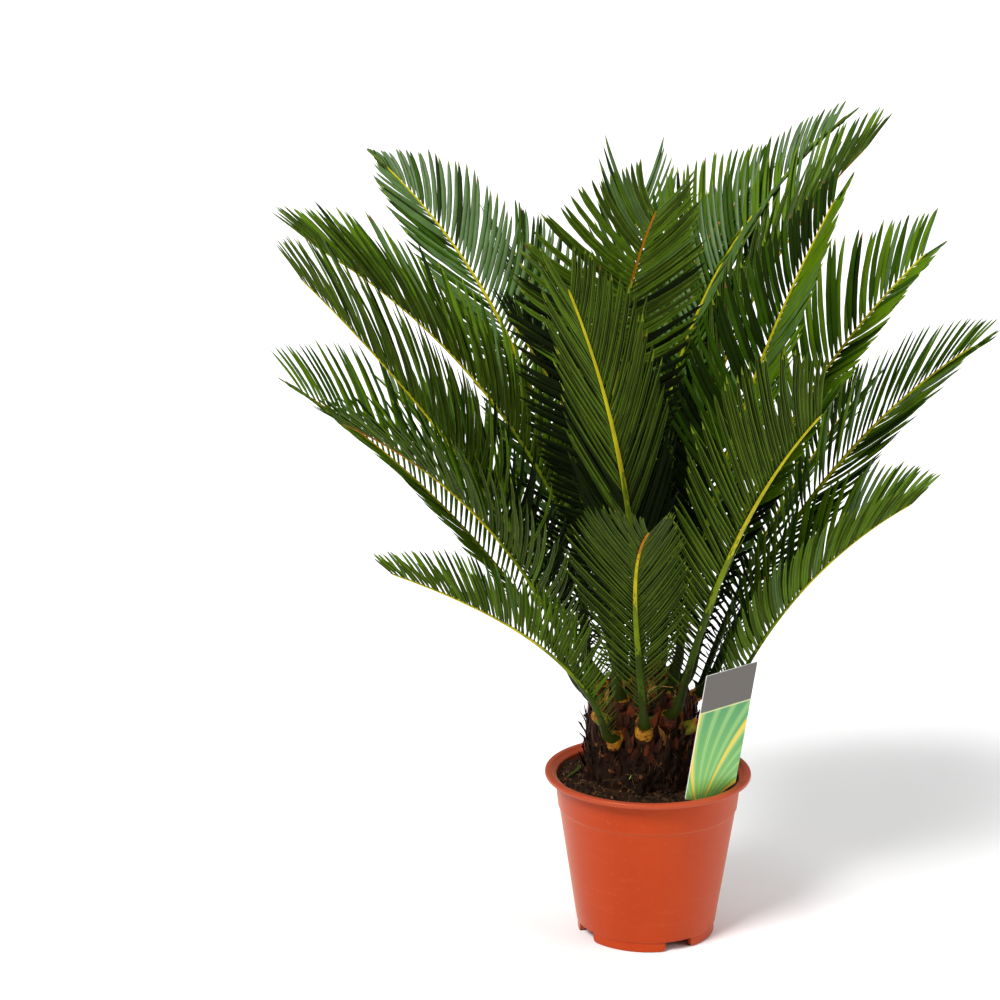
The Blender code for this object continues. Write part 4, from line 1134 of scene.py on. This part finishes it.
def leaflet_shape(frond, s, hand, random):
    """A row of leaflets down one side. Each leaves the rib at its angle and turns evenly towards the frond's tip and
    down from its vee, its width runs by a fixed curve, and its section is a shallow channel with rolled edges."""
    habit = frond.habit
    vee, forward, long = habit["right" if hand > 0 else "left"]
    count = len(s)
    t = LEAFLET_STATIONS
    point, ahead, side, up = frond.at(s)
    half_width, half_depth = frond.rib_size(s)
    grow = np.clip((s - FIRST_LEAFLET) / 0.30, 0.0, 1.0)
    fade = np.clip((s - habit["tail"]) / (1 - habit["tail"]), 0.0, 1.0)
    length = frond.longest * (0.12 + 0.88 * np.clip((s - 0.05) / (habit["full"] - 0.05), 0.0, 1.0) ** 1.1)
    length = length * (1 - (1 - habit["tip"]) * fade**1.2) * random.uniform(1.02, 1.12, count) * long
    length = np.where(random.random(count) < STUNTED_SHARE, length * STUNTED_LENGTH, length)
    width = LEAFLET_WIDTH * habit["width"] * (frond.longest / USUAL_LEAFLET) ** 0.5
    width = width * (0.28 + 0.72 * grow) * (1 - 0.3 * fade) * random.uniform(0.92, 1.08, count)

    def stray(middle, degrees):
        """An angle for each leaflet that strays from the middle one by so many degrees."""
        return np.radians(middle + random.normal(0, degrees, count))[:, None]

    bend, lift = stray(habit["bend"], 3), stray(habit["lift"], 4)
    centre, fan, fan_start = habit["fan"]
    angle = leaflet_angle(s)[:, None] + stray(fan * (centre - np.maximum(s, fan_start)) - forward, 1.6)
    angle = (angle + bend * (0.5 - t))[..., None]
    vee = (stray(vee, 2.2) + lift * (0.5 - t))[..., None]
    out = np.cos(vee) * hand * side[:, None] + np.sin(vee) * up[:, None]
    heading = np.cos(angle) * ahead[:, None] + np.sin(angle) * out
    middle = (heading[:, 1:] + heading[:, :-1]) / 2 * np.diff(t)[None, :, None]
    run = np.concatenate([np.zeros((count, 1, 3)), np.cumsum(middle, axis=1)], axis=1)
    root = point + hand * side * half_width[:, None] * 0.55 + up * half_depth[:, None] * 0.40
    centres = root[:, None] + length[:, None, None] * run
    across = squared(ahead[:, None], heading)
    across, normal = rolled(across, hand * np.cross(heading, across), (stray(0, 5) * (0.6 + 0.6 * t))[..., None])
    half = width[:, None] / 2 * LEAFLET_WIDTHS
    return bars(centres, across, normal, half, np.maximum(half, LEAST_HALF_DEPTH), LEAFLET_SECTION)


def leaflet_colours(frond, s, hand, random):
    """A finish for each face of each leaflet: plain upper and lower greens dealt out leaflet by leaflet, the near-black
    one as painted shade on the leaflets low in the crown, rolled edges lightened as painted highlight, and a
    yellow-green foot and tip."""
    count = len(s)
    tone = frond.habit["tone"]
    odds = TONES[frond.habit.get("right_tone", tone) if hand > 0 else tone]
    upper, under = (random.choice(may, count, p=shares) for may, shares in zip((UPPER_CHOICES, UNDER_CHOICES), odds))
    # Painted shade: leaflets below the habit's share take the near-black finish, with dark edges, keel and tip.
    shaded = s + random.normal(0, 0.05, count) < frond.habit["shade"]
    finish = np.empty((count, len(LEAFLET_STATIONS) - 1, len(LEAFLET_SECTION)), int)
    finish[:, :, 0:4] = np.where(shaded, SHADE, upper)[:, None, None]
    finish[:, :, 4:10] = np.where(shaded, SHADE, under)[:, None, None]
    # Painted highlight: leaflets out of the painted shade take the lighter EDGE finish on both rolled margins.
    finish[:, :, [4, 9]] = np.where(shaded, UNDER_DARK, EDGE)[:, None, None]
    finish[:, :, [6, 7]] = np.where(shaded, UNDER_DARK, KEEL)[:, None, None]
    tip = np.where(random.random(count) < BROWN_TIP_SHARE, TIP_BROWN, TIP)
    tip = np.where(shaded, UNDER_OLIVE, tip)
    finish[:, -1] = np.where((random.random(count) < PALE_TIP_SHARE)[:, None], tip[:, None], finish[:, -1])
    return finish, np.stack([np.full(count, BASE), tip], axis=1)


def make_leaflets(name, fronds, materials):
    """All the leaflets of a group of fronds as one piece, in pairs at an even pitch along each rib."""
    piece = Piece()
    for frond in fronds:
        random = np.random.default_rng(100 + frond.index)
        pairs = round(frond.length * (1 - FIRST_LEAFLET) / LEAFLET_PITCH / frond.habit["pitch"])
        for hand in (-1, 1):
            s = FIRST_LEAFLET + (1 - FIRST_LEAFLET) * (np.arange(pairs) + 0.5 + 0.2 * hand) / pairs
            s = np.clip(s + random.normal(0, 0.0005, pairs) / frond.length, 0.0, 1.0)
            shape = leaflet_shape(frond, s, hand, random)
            piece.add_bars(shape, *leaflet_colours(frond, s, hand, random))
    return piece.build(name, materials)


def make_cushions(fronds, materials):
    """The swollen cushion that each outer stalk stands on: a flat heart up the trunk's skin, broad above and pointed
    below. A few are bright ochre; the rest are small and russet."""
    random = np.random.default_rng(99)
    t = np.linspace(-1, 1, 17)
    full = (np.sqrt(np.maximum(0.0, 1 - t * t)) * (0.84 + 0.24 * t)) * 0.96 + 0.04
    piece = Piece()
    for frond in fronds:
        if frond.normal[2] >= CUSHION_LIMIT:
            continue
        tall, broad, deep, drop, off = CUSHIONS.get(frond.place, PLAIN_CUSHION)
        side = unit(np.cross(UP, frond.normal))
        up = np.cross(frond.normal, side)
        centre = frond.start + off * frond.normal - drop * up
        centres = centre + t[:, None] * tall * up - (0.15 * t * t * tall)[:, None] * frond.normal
        points, quads, caps = bars(centres[None], side, frond.normal, broad * full, deep * full, ring_section(20))
        lot = random.random(quads.shape[:3])
        height = t[None, :-1, None] + 0.35 * (lot - 0.5)
        finish = np.where(lot < 0.6, 2, 3)
        if frond.place in BRIGHT_CUSHIONS:
            finish = np.where(height > 0.45, 1, np.where(height < -0.62, 2, np.where(lot < 0.16, 1, 0)))
        piece.add_bars((wobbled(points, 0.0007, 300, 3, 81), quads, caps), finish, 2)
    return piece.build("leaf_cushions", materials, 60)


def make_leaf_stub(name, azimuth, place, materials):
    """The stub of a cut stalk: an oval section that leaves the trunk squarely, bends up and ends in a hollow cut."""
    foot, normal = dome_place(azimuth, place)
    out, rise = around(math.radians(azimuth)), math.radians(STUB_RISE_DEG)
    side = np.cross(out, UP)
    ahead = math.cos(rise) * out + math.sin(rise) * UP
    mix = np.clip(STUB_STATIONS, 0, 1)[:, None]
    face = np.cross(side, unit(normal * (1 - mix) + ahead * mix))
    way = unit(normal * (1 - 0.5 * mix) + ahead * (0.5 + 0.5 * mix))
    centres = foot + STUB_STATIONS[:, None] * STUB_LENGTH * way
    sizes = STUB_HALF_WIDTH * STUB_SIZES, STUB_HALF_DEPTH * STUB_SIZES
    points, quads, caps = bars(centres[None], side, face, *sizes, ring_section(18))
    finish = np.zeros(quads.shape[:3], int)
    finish[:, -3:] = 1
    shape = (wobbled(points, 0.0004, 300, 2, 91), quads, caps)
    return bar_piece(name + "_stub", shape, finish, np.array([[0, 2]]), materials, 50)


# Label


def make_label(materials):
    """The tag's outline with rounded corners, carried through its thickness with a fine bevel."""
    out, lean = around(math.radians(LABEL_AZIMUTH_DEG)), math.radians(LABEL_LEAN_DEG)
    across = np.cross(UP, out)
    up = math.sin(lean) * out + math.cos(lean) * UP
    half, shoulder, stake = LABEL_WIDTH / 2, LABEL_SHOULDER_WIDTH / 2, LABEL_STAKE_WIDTH / 2
    right = filleted(
        [
            (0.0, -LABEL_STAKE_DEPTH, 0),
            (stake, -LABEL_STAKE_DEPTH, 0.002),
            (shoulder, -LABEL_SHOULDER_DEPTH, 0.002),
            (half, 0.0, 0.0015),
            (half, LABEL_HEIGHT, 0.0010),
            (0.0, LABEL_HEIGHT, 0),
        ]
    )
    outline = np.concatenate([right, right[-2:0:-1] * [-1, 1]])
    middle = np.array([0.0, LABEL_HEIGHT / 2])
    base = out * LABEL_REACH + UP * POT_HEIGHT + up * middle[1]
    centres = base + LABEL_THICKNESS * LABEL_LAYERS[:, None] * np.cross(across, up)
    shape = bars(centres[None], across, up, LABEL_INSET, LABEL_INSET, outline - middle)
    away = shape[0] - base
    piece = Piece()
    piece.add_bars(shape, 1, np.array([[1, 0]]), np.stack([away @ across + half, away @ up + middle[1]], axis=1))
    return piece.build("label_tag", materials, 30, patterned=True)


# Studio


def make_studio():
    """Pale floor, white surroundings, far soft lamps that shine from their place towards the origin, and the camera."""
    scene = bpy.context.scene
    floor = bpy.data.meshes.new("floor")
    corners = [(x * FLOOR_REACH, y * FLOOR_REACH, 0) for x, y in ((-1, -1), (1, -1), (1, 1), (-1, 1))]
    floor.from_pydata(corners, [], [(0, 1, 2, 3)])
    material, _, _ = new_finish("floor_white", Roughness=0.9, Specular_IOR_Level=0.1, Base_Color=(0.9, 0.9, 0.9, 1.0))
    floor.materials.append(material)
    ground = bpy.data.objects.new("floor", floor)
    scene.collection.objects.link(ground)
    ground.location.z = -FLOOR_DROP
    world = bpy.data.worlds.new("studio")
    scene.world = world
    world.use_nodes = True
    sky = world.node_tree.nodes["Background"].inputs
    sky["Color"].default_value = (1.0, 1.0, 1.0, 1.0)
    sky["Strength"].default_value = WORLD_STRENGTH
    for name, place, strength, softness_deg in LAMPS:
        data = bpy.data.lights.new(name, "SUN")
        data.energy, data.angle = strength, math.radians(softness_deg)
        lamp = bpy.data.objects.new(name, data)
        scene.collection.objects.link(lamp)
        lamp.location = place
        lamp.rotation_euler = (-lamp.location).to_track_quat("-Z", "Y").to_euler()
    scene.view_settings.view_transform = "Standard"
    camera = bpy.data.cameras.new("camera")
    camera.lens, camera.sensor_width = CAMERA_LENS, 36.0
    camera.clip_start, camera.clip_end = 0.05, 300.0
    view = bpy.data.objects.new("camera", camera)
    view.location = CAMERA_PLACE
    view.rotation_euler = (math.radians(90 - CAMERA_DOWN_DEG), 0.0, math.radians(CAMERA_TURN_DEG))
    scene.collection.objects.link(view)
    scene.camera = view


def dress():
    """Every piece, its finish, the body that it rides on and the nodes that it stands for."""
    made = {
        name: grained(name, linear(*dark), linear(*light), *rest) for name, (dark, light, *rest) in GRAINED.items()
    }
    made |= {name: leathery(name, *row) for name, row in LEATHERY.items()}

    def finishes(*names):
        """The finishes of these names."""
        return [made[name] for name in names]

    pot = make_pot(terracotta_finish())
    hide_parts("pot")
    soil = make_soil(made["peat"])
    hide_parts("soil")
    crumbs = make_crumbs(finishes("peat_dark", "peat_brown", "peat_grey", "wood_chip"))
    fibres = make_soil_fibres(made["straw_fibre"])
    fallen = make_fallen_leaflets(finishes("fallen_green", "fallen_bright"))
    trunk = make_trunk(finishes("bark", "bark_red", "scar"))
    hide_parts("trunk")
    old_bases = make_old_bases(finishes("bark", "bark_red", "scar"))
    bud_scales = make_bud_scales(finishes("scale_russet", "scale_brown", "scale_straw"))
    loose = make_trunk_fibres(finishes("bark_red", "straw_fibre"))
    strand = make_curled_strand(made["tan_strand"])

    fronds = [Frond(index, row) for index, row in enumerate(FRONDS)]
    ribs = make_ribs(fronds, finishes(*RIB_FINISHES))
    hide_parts(*[frond.name for frond in fronds])
    leafy = [ribs, make_spines(fronds, made["spine_green"])]
    for side in ("left", "right", "front", "back"):
        members = [frond for frond in fronds if frond.place.startswith(side)]
        leaflets = make_leaflets("leaflets_" + side, members, finishes(*LEAFLET_FINISHES))
        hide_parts(*[frond.name for frond in members])
        leafy.append(leaflets)
    bases = [make_cushions(fronds, finishes("cushion_ochre", "cushion_brown", "scale_brown", "scale_russet"))]
    for name, azimuth, place in LEAF_BASES:
        stub = make_leaf_stub(name, azimuth, place, finishes("cushion_green", "cushion_ochre", "cushion_brown"))
        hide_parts(name)
        bases.append(stub)
    label = make_label([label_finish(), made["label_edge"]])
    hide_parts("plant_label")
    bare = [pot, soil, crumbs, fibres, fallen, trunk, old_bases, bud_scales, loose, strand]
    for piece in [*bare, *leafy, *bases, label]:
        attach(piece, "root")


dress()
make_studio()
